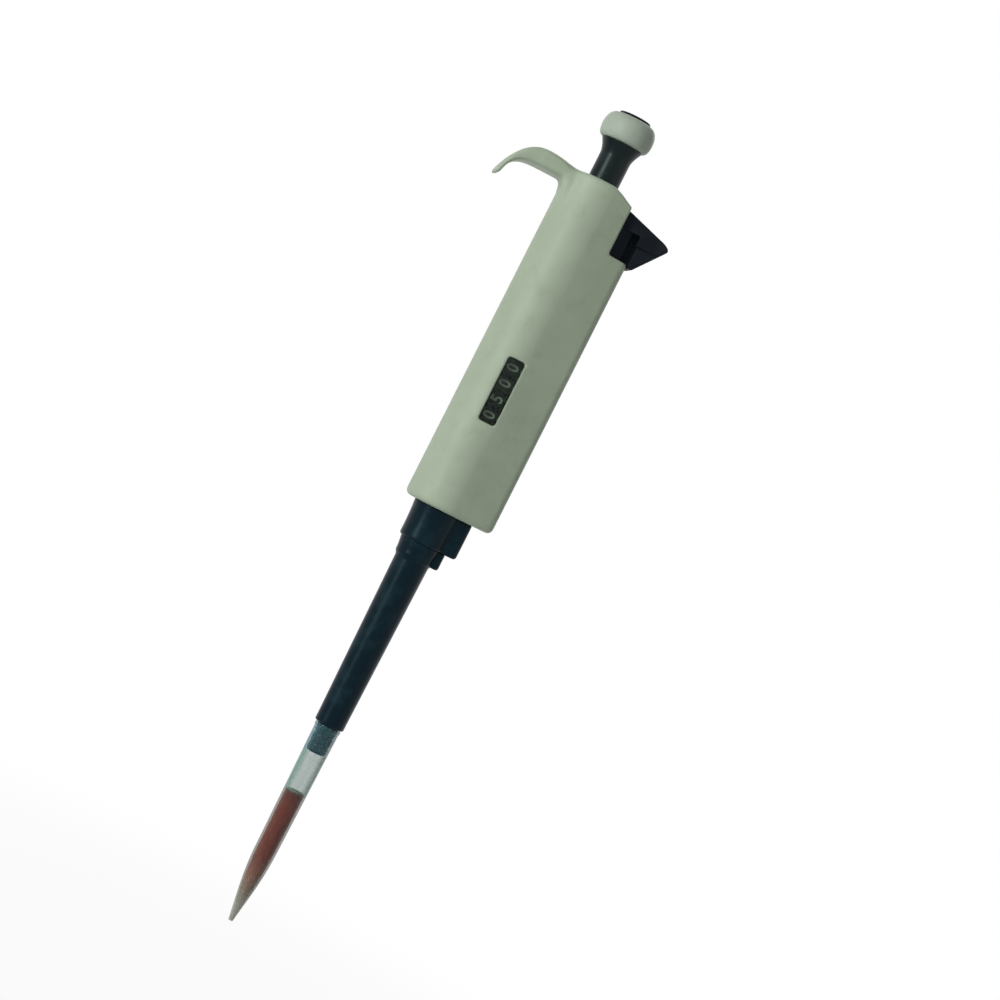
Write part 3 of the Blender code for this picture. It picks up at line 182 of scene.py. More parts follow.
# Below, a noise is its scale per metre, detail and roughness; a key in At is where it starts and is full.
creamLook = {
    "cloud": (55, 4, 0.6), "speck": (150, 6, 0.65), "grain": (2600, 2, 0.6),
    "cloudAt": (0.25, 0.75), "speckAt": (0.50, 0.72), "hollowAt": (0.40, 0.485),
    "rubbedAt": (0.52, 0.60),
    "shares": (0.94, 1.05, 1.22),  # of the colour, where it is thin, thick and rubbed
    "speckShare": 0.35, "rubbedShare": 0.35,
}


def mouldedCream(name, colour, dirtAndShadeColour, dirtAndShade=0.36):
    # grey-green plastic: satin grain, faint clouds, rubbed edges, specks of dirt, and painted shade that
    # darkens the corners and hollows
    place, feed = newFinish(name, Specular_IOR_Level=0.25)
    look = named(creamLook)
    cloud, speck, grain = (place.noise(*noise) for noise in (look.cloud, look.speck, look.grain))
    thin, thick, worn = (scaled(colour, share) for share in look.shares)
    edge = place.pointiness()
    rubbed = edge.between(*look.rubbedAt)
    # painted shade: where pointiness is low, in corners and hollows, the colour darkens towards the
    # dirt-and-shade colour
    hollow = 1 - edge.between(*look.hollowAt)
    dirtAndPaintedShade = (speck.between(*look.speckAt) * dirtAndShade * look.speckShare + hollow * dirtAndShade).clamped()
    base = dirtAndPaintedShade.blend(cloud.between(*look.cloudAt).blend(thin, thick), dirtAndShadeColour)
    return feed(Base_Color=(rubbed * look.rubbedShare).blend(base, worn),
                Roughness=0.40 + 0.14 * speck + 0.10 * dirtAndPaintedShade - 0.08 * rubbed,
                Normal=cloud.bump(0.15, 0.25, grain.bump(0.35, 0.02)))


darkLook = {
    "streak": (1500, 3, 0.6), "patch": (140, 5, 0.6), "grain": (3200, 2, 0.5),
    "rubbedAt": (0.53, 0.62), "dustAt": (0.46, 0.74), "rubbedShare": 0.30, "dustShare": 0.16,
    "bluish": (0.55, 0.86, 1), "greenish": (0.80, 1, 0.92),
}
lengthwise, crosswise, everyWay = (1, 1, 0.05), (0.2, 1, 1), (1, 1, 1)


def mouldedDark(name, colour, worn, roughness, along=lengthwise, shine=0.13, tint="bluish"):
    # blue-black plastic: polished in use along its length, dusty in patches, paler where edges rub
    look = named(darkLook)
    place, feed = newFinish(name, Specular_IOR_Level=shine, Specular_Tint=(*darkLook[tint], 1))
    streak = place.stretched(*along).noise(*look.streak)
    dust = place.noise(*look.patch).between(*look.dustAt)
    rubbed = place.pointiness().between(*look.rubbedAt)
    base = (dust * look.dustShare).blend(colour, worn)
    return feed(Base_Color=(rubbed * look.rubbedShare).blend(base, worn),
                Roughness=roughness + 0.12 * dust + 0.08 * streak,
                Normal=streak.bump(0.12, 0.012, place.noise(*look.grain).bump(0.20, 0.010)))


def paleMoulding(name, colour):
    # white inner mouldings: faint mottling and grain
    place, feed = newFinish(name)
    cloud = place.noise(220, 5, 0.6)
    return feed(Base_Color=cloud.between(0.3, 0.7).blend(scaled(colour, 0.90), colour),
                Roughness=0.45 + 0.10 * cloud, Normal=place.noise(2500).bump(0.2, 0.01))


def turnedMetal(name, colour, tarnished, roughness, along):
    # metal with fine tool lines, noise squeezed across them, and a slow tarnish
    place, feed = newFinish(name, Metallic=1)
    lines = place.stretched(*along).noise(3000, 3, 0.7)
    tarnish = place.noise(160, 5, 0.6).between(0.4, 0.75)
    return feed(Base_Color=(tarnish * 0.6).blend(colour, tarnished),
                Roughness=roughness + 0.15 * lines + 0.12 * tarnish, Normal=lines.bump(0.15, 0.008))


def rubberFinish(name, colour):
    # black rubber with a grey bloom
    place, feed = newFinish(name)
    bloom = place.noise(400, 5, 0.7)
    return feed(Base_Color=(bloom.between(0.45, 0.7) * 0.4).blend(colour, scaled(colour, 3)),
                Roughness=0.6 + 0.25 * bloom, Normal=bloom.bump(0.3, 0.02))


tipSize = {
    "length": 72, "end": 0.8, "waist": 3.8, "waistHeight": 27, "swell": 1.08, "top": 4.4,
    "rim": 4.6, "rimFoot": 70.6, "wall": 0.5,
}
tipLook = {
    "milk": seen(104, 146, 134), "wet": seen(112, 98, 86), "pale": seen(172, 177, 163),
    "grip": seen(78, 134, 146), "dryAlpha": 0.44, "wetAlpha": 0.12, "pointAlpha": 0.66,
    "gripAlpha": 0.22,
    "edgeAlpha": 0.72,  # added where the outer wall is seen edge on
    "innerAlpha": 0.03,
    "level": 48,  # of the sample, which wets the wall and clears it
    "pointAt": (2, 19),
    "gripAt": (61.6, 63),  # the nozzle presses the wall clear
}


def clearTipFinish(name):
    # milky drawn plastic, clearer where the sample wets it and denser at the point
    place, feed = newFinish(name, Roughness=0.20, Coat_Weight=0.35, Coat_Roughness=0.08)
    look, t = named(tipLook), named(tipSize)
    x, y, height = (place.along(axis) for axis in "XYZ")
    radius = (x * x + y * y) ** 0.5
    # the same curve as tipRadius, less half the wall, parts the outer surface from the bore
    sweep = (height * (1 / t.waistHeight)).clamped() * quarter
    swell = t.end + (t.waist - t.end) * sweep.maths("SINE") ** t.swell
    taper = (height - t.waistHeight).maths("MAXIMUM")
    swell = swell + taper * ((t.top - t.waist) / (t.length - t.waistHeight))
    outer = (radius - swell).between(-0.28, -0.12)
    wet = 1 - height.between(look.level - 1, look.level + 0.4)
    point = 1 - height.between(*look.pointAt)
    gripped = height.between(*look.gripAt)
    flow = place.stretched(*lengthwise).noise(620, 3, 0.6)
    base = gripped.blend(wet.blend(look.milk, look.wet), look.grip)
    alpha = look.dryAlpha + (look.wetAlpha - look.dryAlpha) * wet
    alpha = alpha + (look.pointAlpha - look.wetAlpha) * point
    alpha = alpha - (look.dryAlpha - look.gripAlpha) * gripped
    edge = place.make("LayerWeight", {}, {"Blend": 0.5}, "Facing").between(0.02, 0.86)
    alpha = (alpha + look.edgeAlpha * edge + 0.35 * (flow - 0.5)).clamped()
    return feed(Base_Color=point.blend(base, look.pale), Normal=flow.bump(0.10, 0.01),
                Alpha=look.innerAlpha + outer * (alpha - look.innerAlpha))


def sampleFinish(name):
    # dark red liquid, thinner and browner towards the point
    place, feed = newFinish(name, Roughness=0.12, IOR=1.34)
    height = place.along("Z")
    swirl = place.stretched(1, 1, 0.4).noise(260, 4, 0.6)
    base = height.between(0, 28).blend(seen(182, 162, 138), seen(122, 52, 43))
    base = height.between(42, tipLook["level"]).blend(base, seen(92, 50, 45))
    return feed(Base_Color=(swirl.between(0.35, 0.7) * 0.25).blend(base, seen(84, 30, 28)))


def windowFinish(name):
    # clear smoky green plastic over the digits, with hairline scratches
    place, feed = newFinish(name, Base_Color=(0.014, 0.034, 0.018, 1))
    scratch = place.stretched(*crosswise).noise(2200, 4, 0.8)
    smear = place.noise(240, 4, 0.6)
    return feed(Roughness=0.10 + 0.20 * smear.between(0.4, 0.8),
                Alpha=0.20 + 0.08 * scratch.between(0.55, 0.8), Normal=scratch.bump(0.06, 0.01))


def digitPaint(name, colour):
    # printed figures, thin in places
    place, feed = newFinish(name)
    thin = place.noise(2600, 4, 0.7).between(0.35, 0.75)
    return feed(Base_Color=(thin * 0.45).blend(colour, scaled(colour, 0.45)), Roughness=0.5 + 0.2 * thin)


# the third colour serves for the dirt specks and for the painted shade in the hollows
cream = mouldedCream("handle cream", seen(164, 178, 157), seen(104, 108, 84))
buttonCream = mouldedCream("button cream", seen(166, 178, 164), seen(120, 124, 104), 0.35)
dark = mouldedDark("dark plastic", seen(8, 26, 34), seen(54, 84, 92), 0.25, shine=0.14)
leverDark = mouldedDark("lever plastic", seen(27, 28, 33), seen(64, 68, 68), 0.50, crosswise, 0.10)
stemDark = mouldedDark("stem plastic", seen(6, 18, 23), seen(64, 84, 80), 0.28, lengthwise, 0.2,
                       "greenish")
wheelBlack = mouldedDark("wheel black", seen(15, 24, 17), seen(40, 52, 42), 0.45, everyWay)
white = paleMoulding("inner white", seen(214, 214, 206))
clearTip = clearTipFinish("tip plastic")
sampleRed = sampleFinish("sample")
windowClear = windowFinish("window plastic")
digitGrey = digitPaint("digit paint", seen(188, 208, 186))
steel = turnedMetal("steel", (0.40, 0.41, 0.42), (0.27, 0.26, 0.25), 0.24, (1, 1, 0.06))
springSteel = turnedMetal("spring steel", (0.27, 0.28, 0.30), (0.19, 0.17, 0.15), 0.30, everyWay)
brass = turnedMetal("brass", (0.62, 0.46, 0.20), (0.40, 0.27, 0.12), 0.30, (0.06, 0.06, 1))
rubber = rubberFinish("rubber", (0.016, 0.016, 0.017))
print("materials made")


def columns(*parts):
    # numbers and arrays side by side, spread to one shape
    return np.stack(np.broadcast_arrays(*parts), axis=-1)


def roundAngles(steps):
    return np.linspace(0, 2 * pi, steps, endpoint=False)


def shapeMesh(name, points, faces, finish):
    # merges seams and poles, turns the faces outwards and moves to the shared frame
    mesh = bpy.data.meshes.new(name)
    placed = (np.asarray(points, float).reshape(-1, 3) + axisPlace) * 0.001
    mesh.from_pydata(placed.tolist(), [], faces)
    work = bmesh.new()
    work.from_mesh(mesh)
    bmesh.ops.remove_doubles(work, verts=work.verts, dist=2e-6)
    bmesh.ops.recalc_face_normals(work, faces=work.faces)
    work.to_mesh(mesh)
    work.free()
    mesh.materials.append(finish)
    return placedObject(name, mesh)


def placedObject(name, data):
    made = bpy.data.objects.new(name, data)
    bpy.context.scene.collection.objects.link(made)
    return made


def gridSolid(name, rings, finish, capped=True):
    # rings is (rows, columns, 3): a row closes on itself, and one face closes each end
    rows, across = rings.shape[:2]
    start = np.arange(rows - 1)[:, None] * across
    here = np.arange(across)[None, :]
    there = (here + 1) % across
    quads = columns(start + here, start + there, start + across + there, start + across + here)
    faces = quads.reshape(-1, 4).tolist()
    if capped:
        faces.append(np.arange(across).tolist())
        faces.append((np.arange(across) + (rows - 1) * across).tolist())
    return shapeMesh(name, rings, faces, finish)


def spun(name, profile, finish, sharp=50, steps=96, hollow=False):
    # (radius, height) points turned about the piston's axis: x = r cos a, y = r sin a
    profile = np.asarray(profile, float)
    if hollow:
        profile = np.vstack([profile, profile[:1]])
    angle = roundAngles(steps)
    radius, height = profile[:, :1], profile[:, 1:]
    rings = columns(radius * np.cos(angle), radius * np.sin(angle), height)
    return creased(gridSolid(name, rings, finish, capped=False), sharp)


def raised(name, outline, low, high, finish=cream, across=False):
    # a closed outline carried up, or from front to back when across
    a, b = np.asarray(outline, float).T
    level = np.array([[low], [high]], float)
    return gridSolid(name, columns(a, level, b) if across else columns(a, b, level), finish)


def boxed(name, low, high):
    (left, front, foot), (right, back, top) = low, high
    return raised(name, [(left, front), (right, front), (right, back), (left, back)], foot, top)


def circleAt(centre, radius, angle):
    return columns(centre[0] + radius * np.cos(angle), centre[1] + radius * np.sin(angle))


def arcPoints(centre, radius, start, end, count):
    return circleAt(centre, radius, np.radians(np.linspace(start, end, count)))


def rod(name, radius, low, high, centre=(0, 0), steps=48, across=False):
    return raised(name, circleAt(centre, radius, roundAngles(steps)), low, high, across=across)


def curvePoints(start, first, second, end, count=24):
    # the cubic curve of four points, by its weights (1-t)^3, 3t(1-t)^2, 3t^2(1-t) and t^3
    t = np.linspace(0, 1, count)[:, None]
    p = [np.asarray(point, float) for point in (start, first, second, end)]
    return (1 - t) ** 3 * p[0] + 3 * t * (1 - t) ** 2 * p[1] + 3 * t * t * (1 - t) * p[2] + t**3 * p[3]


def softCorners(points, radii, count=7, closed=False):
    # each corner P becomes the curve (1-t)^2 A + 2t(1-t) P + t^2 B,
    # where A and B lie a radius away along its sides
    points = np.asarray(points, float)
    radii = np.broadcast_to(np.asarray(radii, float), len(points)).copy()
    if not closed:
        radii[[0, -1]] = 0
    sides = [np.roll(points, step, axis=0) - points for step in (1, -1)]
    lengths = [np.maximum(np.linalg.norm(side, axis=1), 1e-6) for side in sides]
    reach = np.minimum(radii, 0.49 * np.minimum(*lengths))[:, None]
    a, b = (points + side / length[:, None] * reach for side, length in zip(sides, lengths))
    t = np.linspace(0, 1, count)[None, :, None]
    made = (1 - t) ** 2 * a[:, None] + 2 * t * (1 - t) * points[:, None] + t * t * b[:, None]
    return made.reshape(-1, points.shape[1])


def settledMesh(piece):
    bpy.context.view_layer.update()
    return bpy.data.meshes.new_from_object(piece.evaluated_get(bpy.context.evaluated_depsgraph_get()))


def settle(piece, smooth=True):
    # applies the modifiers
    mesh, old = settledMesh(piece), piece.data
    piece.modifiers.clear()
    piece.data = mesh
    bpy.data.meshes.remove(old)
    mesh.name = piece.name
    if smooth:
        mesh.shade_smooth()
    return piece


def shaped(piece, operation, tools):
    # works on a piece with helper solids, which are then removed
    for tool in tools:
        modifier = piece.modifiers.new(tool.name, "BOOLEAN")
        setUp(modifier, operation=operation, object=tool, solver="EXACT")
    settle(piece, False)
    for tool in tools:
        bpy.data.objects.remove(tool, do_unlink=True)
    return piece


def cut(piece, *tools):
    return shaped(piece, "DIFFERENCE", tools)


def joined(piece, *tools):
    return shaped(piece, "UNION", tools)


def common(piece, *tools):
    return shaped(piece, "INTERSECT", tools)


def smoothed(piece, rounds, group=""):
    setUp(piece.modifiers.new("round", "SMOOTH"), vertex_group=group, factor=0.5, iterations=rounds)
    return settle(piece)


def softened(piece, voxel, rounds):
    # even small faces, then smoothing that rounds every edge as a moulding's
    setUp(piece.modifiers.new("even", "REMESH"), mode="VOXEL", voxel_size=voxel * 0.001)
    return smoothed(piece, rounds)


def creased(piece, limit):
    piece.data.shade_smooth()
    piece.data.set_sharp_from_angle(angle=radians(limit))
    return piece


def valuesOf(items, key):
    values = np.empty(len(items) * 3)
    items.foreach_get(key, values)
    return values.reshape(-1, 3)


def standsFor(piece, body, slot, *replaced):
    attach(piece, body)
    if replaced:
        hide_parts(*replaced)


handleSize = {
    "bottom": 152.6, "top": 273.2, "radius": 12.4, "reach": 19, "cornerRadius": 3.5,
    "cornerSpread": 4, "wall": 2, "endWall": 2.5, "bottomRound": 2, "topRound": 1.6, "parting": 5.5,
    "coverLow": 157.2, "coverHigh": 263.2, "notchReach": 11.4, "notchBottom": 252.6,
    "slopeStart": 3.5, "slopeDrop": 4.3, "windowCentre": 196.5, "windowLength": 23,
    "windowWidth": 6.1, "shelfTop": 226, "screwReach": 14.5, "screwHeights": (160.6, 220.5),
    "spigot": 6, "voxel": 0.46, "coverVoxel": 0.38,
}
boreSize = {
    "roof": 7.2,
    "floor": 5.2,  # for the tip cone
    "rod": 1.6, "socket": 1.5,
    "rodPlace": (10.6, 0),  # of the ejector rod's lower end
    "springPlace": (14.6, 0),  # of its upper end, with the spring
}
gap = 0.3
seam = 0.04  # the parting line is a hair wide, and its rounded edges show as a groove
outside = handleSize["radius"] + 2
inside = handleSize["radius"] - handleSize["wall"]
floorTop = handleSize["bottom"] + handleSize["endWall"]
roofUnder = handleSize["top"] - handleSize["endWall"]


def handleOutline(inset=0):
    # the plan: a round back about the axis, two flat faces that close in, and two small corners
    h = named(handleSize)
    along, spread = h.reach - h.cornerRadius, h.cornerSpread
    lean = degrees(asin((h.radius - h.cornerRadius) / hypot(along, spread)))
    lean -= degrees(atan2(spread, along))
    small = h.cornerRadius - inset
    return np.vstack([
        arcPoints((0, 0), h.radius - inset, 90 - lean, 270 + lean, 56),
        arcPoints((along, -spread), small, 270 + lean, 360, 9),
        arcPoints((along, spread), small, 0, 90 - lean, 9),
    ])


def roundedBar(name, outlineAt, low, high, lowRound, highRound, finish):
    # an outline carried up; near each end it draws in by r(1 - sin a) while it rises by r(1 - cos a)
    rings = []
    for foot, turn, size in ((low, 1, lowRound), (high, -1, highRound)):
        ends = [
            columns(*outlineAt(size * (1 - sin(a))).T, foot + turn * size * (1 - cos(a)))
            for a in np.radians(np.linspace(0, 90, 8))
        ]
        rings += ends[::turn]
    return gridSolid(name, np.array(rings), finish)


def handleForm(name):
    h = named(handleSize)
    return roundedBar(name, handleOutline, h.bottom, h.top, h.bottomRound, h.topRound, cream)


hookSize = {
    "crown": 274.5, "rest": 268, "restNear": -13.5, "restFar": -22.5, "reach": -34.4, "tip": 261,
    "tipThick": 1.9, "halfWidth": 7.5, "rootSpread": 1.3, "tipNarrowing": 0.9, "squareness": 0.42,
    "topRoot": (-4.5, 272.6), "underRoot": (-4.5, 256),
    # places on the two lines that belong together, between the root and the tip
    "topKeys": [(-12.5, 273.5), (-14.8, 273.9), (-17, 274.2), (-22, 274.5), (-28.5, 271.6)],
    "underKeys": [(-11.8, 262), (-12.4, 266.3), (-14.2, 268), (-22.5, 268), (-27.2, 266.9)],
}


def matched(curve, keys, share):
    # points of a polyline at the shares of its length that belong to the key points
    length = np.concatenate([[0], np.cumsum(np.linalg.norm(np.diff(curve, axis=0), axis=1))])
    nearest = np.argmin(np.linalg.norm(curve[None] - np.asarray(keys)[:, None], axis=2), axis=1)
    wanted = np.interp(share, np.linspace(0, 1, len(keys)), length[nearest])
    return columns(*(np.interp(wanted, length, curve[:, k]) for k in (0, 1)))


def signedPower(value, power):
    return np.sign(value) * np.abs(value) ** power


def fingerHook():
    # between a top and an under line, a section with rounded corners:
    # centre + half the thickness * sgn(sin)|sin|^e, and across it width * sgn(cos)|cos|^e
    k = named(hookSize)
    reach, tip, rest, palm = k.reach, k.tip, k.rest, k.underKeys[0]
    crown, near, far = (-21, k.crown), (k.restNear, rest), (k.restFar, rest)
    topEnd, underEnd = (reach, tip), (reach + k.tipThick, tip)
    top = np.vstack([
        curvePoints(k.topRoot, (-12, 273.3), (-16, k.crown), crown, 40),
        curvePoints(crown, (-27.4, k.crown), (reach + 2.6, tip + 8.4), topEnd, 60),
    ])
    under = np.vstack([
        curvePoints(k.underRoot, (-8, 256), (-11.3, 258), palm, 20),
        curvePoints(palm, (-12, 266.8), (-12.3, rest), near, 20),
        [far],
        np.linspace(near, far, 20),
        curvePoints(far, (-28.1, rest), (reach + 3, tip + 5.6), underEnd, 50),
    ])
    share = np.linspace(0, 1, 72)
    above = matched(top, [k.topRoot, *k.topKeys, topEnd], share)
    below = matched(under, [k.underRoot, *k.underKeys, underEnd], share)
    centre, arm = (above + below) / 2, (above - below) / 2
    width = k.halfWidth + k.rootSpread * np.clip(1 - share * 4.2, 0, 1) ** 1.5
    width -= k.tipNarrowing * np.clip(share * 2.2 - 1.2, 0, 1) ** 2
    # the rounded end: the section shrinks as cos a and moves on as sin a
    a = np.linspace(0, quarter, 8)[1:, None]
    onward = np.array([-0.28, -0.96]) * k.tipThick / 2
    centre = np.vstack([centre, centre[-1] + onward * np.sin(a)])
    arm = np.vstack([arm, arm[-1] * np.cos(a)])
    width = np.concatenate([width, width[-1] * (0.82 + 0.18 * np.cos(a[:, 0]))])
    turn = roundAngles(64)
    s, c = (signedPower(wave(turn), k.squareness) for wave in (np.sin, np.cos))
    x, z = (centre[:, n:n + 1] + arm[:, n:n + 1] * s for n in (0, 1))
    return gridSolid("hookForm", columns(x, width[:, None] * c, z), cream)


def rootSmoothed(body):
    # the hook flows out of the handle's back: more smoothing, strongest where they meet
    x, _, z = (valuesOf(body.data.vertices, "co") * 1000 - axisPlace).T
    weight = np.clip(1.5 - 1.5 * np.abs(x + 10.5) / 5.5, 0, 1) * np.clip((z - 250) / 4, 0, 1)
    group = body.vertex_groups.new(name="hookRoot")
    for level in np.linspace(0.1, 1, 10):
        chosen = np.flatnonzero(np.abs(weight - level) <= 0.05)
        group.add(chosen.tolist(), float(level), "REPLACE")
    smoothed(body, 36, group.name)


def insideStrip(name, inset, near, far, low, high):
    # the part of the handle's inside between two reaches
    made = raised(name, handleOutline(inset), low, high)
    return common(made, boxed(name + "Strip", (near, -20, low - 2), (far, 20, high + 2)))


def insideTools():
    # the rooms inside the handle's walls, and the notch that the lever fills
    h = named(handleSize)
    wall, notch, reach = h.wall, h.notchBottom, h.notchReach
    lower = raised("lowerRoom", handleOutline(wall), floorTop, notch - wall)
    shaft = insideStrip("leverShaft", wall, reach, h.reach, notch - 2 * wall, notch)
    upper = raised("upperRoom", handleOutline(wall), notch - wall - 0.5, roofUnder)
    stop = boxed("upperStop", (reach - wall, -outside, notch - 4), (30, outside, roofUnder + 2))
    opening = boxed("notchRoom", (reach, -outside, notch), (30, outside, h.top + 2))
    return [lower, shaft, cut(upper, stop), opening]


def rearPost(name, height, near, reachUp=0):
    # a post on the inside of the flat end, for a cover screw
    h = named(handleSize)
    size = 2.1
    low = (h.screwReach - size, near, height - size)
    return boxed(name, low, (h.reach - h.wall + 0.5, h.parting - gap, height + max(size, reachUp)))


def makeHandle():
    h, bore = named(handleSize), named(boreSize)
    body = joined(handleForm("handleShell"), fingerHook())
    cut(body, *insideTools())
    start, end, top = h.slopeStart, h.notchReach + 2, h.top
    slope = [(start - 6, top + 2), (start - 6, top + 0.9), (start - 1, top + 0.1),
             (start + 3, top - 1.25), (end, top - h.slopeDrop), (end, top + 2)]
    across, up, middle = h.windowWidth / 2, h.windowLength / 2, h.windowCentre
    cut(body,
        boxed("backRoom", (-outside, h.parting, h.coverLow), (30, outside, h.coverHigh)),
        raised("topSlope", slope, -outside, outside, across=True),
        rod("roofBore", bore.roof, roofUnder - 2, top + 3, steps=64),
        boxed("windowRoom", (-across, -outside, middle - up), (across, -inside / 2, middle + up)),
        boxed("neckSlot", (16.4, -2.7, 237.7), (h.reach + 2, 2.7, h.notchBottom + 2)),
        rod("floorBore", bore.floor, h.bottom - 2, floorTop + 2),
        rod("rodBore", bore.rod, h.bottom - 2, floorTop + 2, bore.rodPlace, 24),
    )
    lowPost, highPost = h.screwHeights
    shelf = h.shelfTop
    spigot = rod("spigot", h.spigot, 146, h.bottom + 0.5)
    spigot = cut(spigot, rod("spigotBore", bore.floor, 140, 160))
    joined(body, spigot,
        boxed("carrierRib", (-inside - 0.5, -1, floorTop - 0.5), (-inside + 3, 1, 182.8)),
        boxed("stopRib", (-inside - 0.5, -1, 234.1), (-inside + 3, 1, 261.7)),
        boxed("springShelf", (12, -4.6, shelf - 2), (h.reach - h.wall + 0.5, 4.6, shelf)),
        rearPost("lowerPost", lowPost, -7),
        rearPost("upperPost", highPost, 1.9, shelf - highPost - 0.5),
    )
    cut(body,
        rod("shelfBore", bore.rod, shelf - 4, shelf + 2, bore.springPlace, 24),
        rod("lowerHole", 1.2, 1.6, 12, (h.screwReach, lowPost), 32, True),
        rod("upperHole", 1.2, 1.6, 12, (h.screwReach, highPost), 32, True),
    )
    softened(body, h.voxel, 3)
    rootSmoothed(body)
    standsFor(body, "handle", "cream_plastic", "handle_body")


def makeCover():
    h = named(handleSize)
    high = h.coverHigh
    zone = boxed("coverZone", (-outside, h.parting + seam, h.coverLow + seam), (30, outside, high - seam))
    cover = common(handleForm("rearCoverShell"), zone)
    cut(cover, *insideTools())
    # a tab that reaches up behind the handle's wall
    tab = rod("coverTab", inside - gap, high - 3, high + 3, steps=96)
    tab = cut(tab, rod("tabRoom", inside - gap - 0.9, high - 6, high + 6, steps=96))
    tab = common(tab, boxed("tabZone", (-4, 0, high - 4), (4, outside, high + 6)))
    bridge = boxed("tabBridge", (-3.7, inside - gap - 0.4, high - 2.8), (3.7, inside + 0.5, high - 1))
    joined(cover, tab, bridge)
    holes = [
        rod(name, radius, near, 20, (h.screwReach, height), 32, True)
        for height in h.screwHeights
        for name, radius, near in (("shankHole", 1.3, 1.6), ("headHole", 2.1, 6.6))
    ]
    cut(cover, *holes)
    softened(cover, h.coverVoxel, 3)
    standsFor(cover, "handle", "cream_plastic", "rear_cover")


screwSize = {
    "shank": 1, "head": 1.8, "near": 1.9, "seat": 6.9, "top": 8.1, "pitch": 0.7, "threadDepth": 0.10,
    "slot": 0.25, "slotReach": 1.15, "slotDepth": 0.6,
}


def paintRecessShade(piece, height):
    # painted shade: the faces deep in the cross take the black wheel plastic
    s = named(screwSize)
    faces = piece.data.polygons
    x, y, z = (valuesOf(faces, "center") * 1000 - axisPlace).T
    deep = (y < s.top - 0.05) & (y > s.top - s.slotDepth - 0.05)
    within = np.hypot(x - handleSize["screwReach"], z - height) < s.slotReach + 0.1
    piece.data.materials.append(wheelBlack)
    faces.foreach_set("material_index", (deep & within).astype(np.int32))


def makeScrew(name, height):
    # turned across the handle: x = r cos a, z = r sin a; the thread waves in r
    s, place, turn = named(screwSize), handleSize["screwReach"], roundAngles(48)
    head, seat, top, depth = s.head, s.seat, s.top, s.threadDepth
    y = np.linspace(s.near + 0.6, seat - 0.4, 70)
    thread = s.shank - depth + depth * np.cos(2 * pi * y / s.pitch)
    crown = softCorners([(s.shank, seat), (head, seat), (head, top - 0.1), (head - 0.7, top), (0, top)],
                        [0, 0.15, 0.5, 0.5, 0], 5)
    profile = np.vstack([[(0, s.near), (0.5, s.near)], columns(thread, y), crown])
    r, level = profile[:, :1], profile[:, 1:]
    rings = columns(place + r * np.cos(turn), level, height + r * np.sin(turn))
    piece = gridSolid(name + "Screw", rings, springSteel, capped=False)
    for wide, tall in ((s.slot, s.slotReach), (s.slotReach, s.slot)):
        low = (place - wide, top - s.slotDepth, height - tall)
        cut(piece, boxed("slot", low, (place + wide, top + 1, height + tall)))
    # painted shade in the cross recess
    paintRecessShade(piece, height)
    creased(piece, 40)
    standsFor(piece, "handle", "steel", "cover_screw_" + name)


makeHandle()
makeCover()
for screwName, screwHeight in zip(("lower", "upper"), handleSize["screwHeights"]):
    makeScrew(screwName, screwHeight)
print("handle, cover and screws made")


windowSize = {
    "halfWidth": 2.75, "halfLength": 11.2, "front": 12.1, "back": 9.4, "flange": 1.2, "flangeBack": 8.6,
}


def makeWindow():
    # an arc of the handle's own round with a flange behind the wall, carried up the axis
    w = named(windowSize)
    centre, near, back, flange = handleSize["windowCentre"], w.halfWidth, -w.back, -w.flangeBack
    span = degrees(asin(near / w.front))
    wide = near + w.flange
    plan = np.vstack([
        arcPoints((0, 0), w.front, 270 - span, 270 + span, 24),
        [(near, back), (wide, back), (wide, flange), (-wide, flange), (-wide, back), (-near, back)],
    ])
    piece = raised("windowLens", plan, centre - w.halfLength, centre + w.halfLength, windowClear)
    setUp(piece.modifiers.new("edge", "BEVEL"), width=0.00025, segments=3, limit_method="ANGLE")
    settle(piece, False)
    standsFor(creased(piece, 30), "handle", "window_plastic", "counter_window")


digitSize = {
    "height": 4.3, "width": 2.3, "radius": 8.3, "sunk": 0.03, "lift": 0.05, "pitch": 5.75,
    "first": 187.875,
}


def flatDigit(figure):
    # one printed figure, its strokes cut crosswise so that they can follow a wheel
    curve = setUp(bpy.data.curves.new("figure", "FONT"), body=figure, resolution_u=6)
    curve.offset = 0.018  # a bolder stroke
    holder = placedObject("figure", curve)
    mesh = settledMesh(holder)
    bpy.data.objects.remove(holder, do_unlink=True)
    work = bmesh.new()
    work.from_mesh(mesh)
    bmesh.ops.remove_doubles(work, verts=work.verts, dist=1e-5)
    heights = [v.co.y for v in work.verts]
    for level in np.linspace(min(heights), max(heights), 12)[1:-1]:
        geometry = work.verts[:] + work.edges[:] + work.faces[:]
        bmesh.ops.bisect_plane(work, geom=geometry, plane_co=(0, float(level), 0), plane_no=(0, 1, 0))
    bmesh.ops.triangulate(work, faces=work.faces)
    made = bmesh.ops.extrude_face_region(work, geom=work.faces[:])
    lifted = [part for part in made["geom"] if isinstance(part, bmesh.types.BMVert)]
    bmesh.ops.translate(work, verts=lifted, vec=(0, 0, 1))
    work.to_mesh(mesh)
    work.free()
    points, faces = valuesOf(mesh.vertices, "co"), [list(p.vertices) for p in mesh.polygons]
    bpy.data.meshes.remove(mesh)
    return points, faces


figureShapes = {figure: flatDigit(figure) for figure in "0123456789"}
nought = figureShapes["0"][0]
figureScale = [digitSize["width"] / np.ptp(nought[:, 0]), digitSize["height"] / np.ptp(nought[:, 1])]


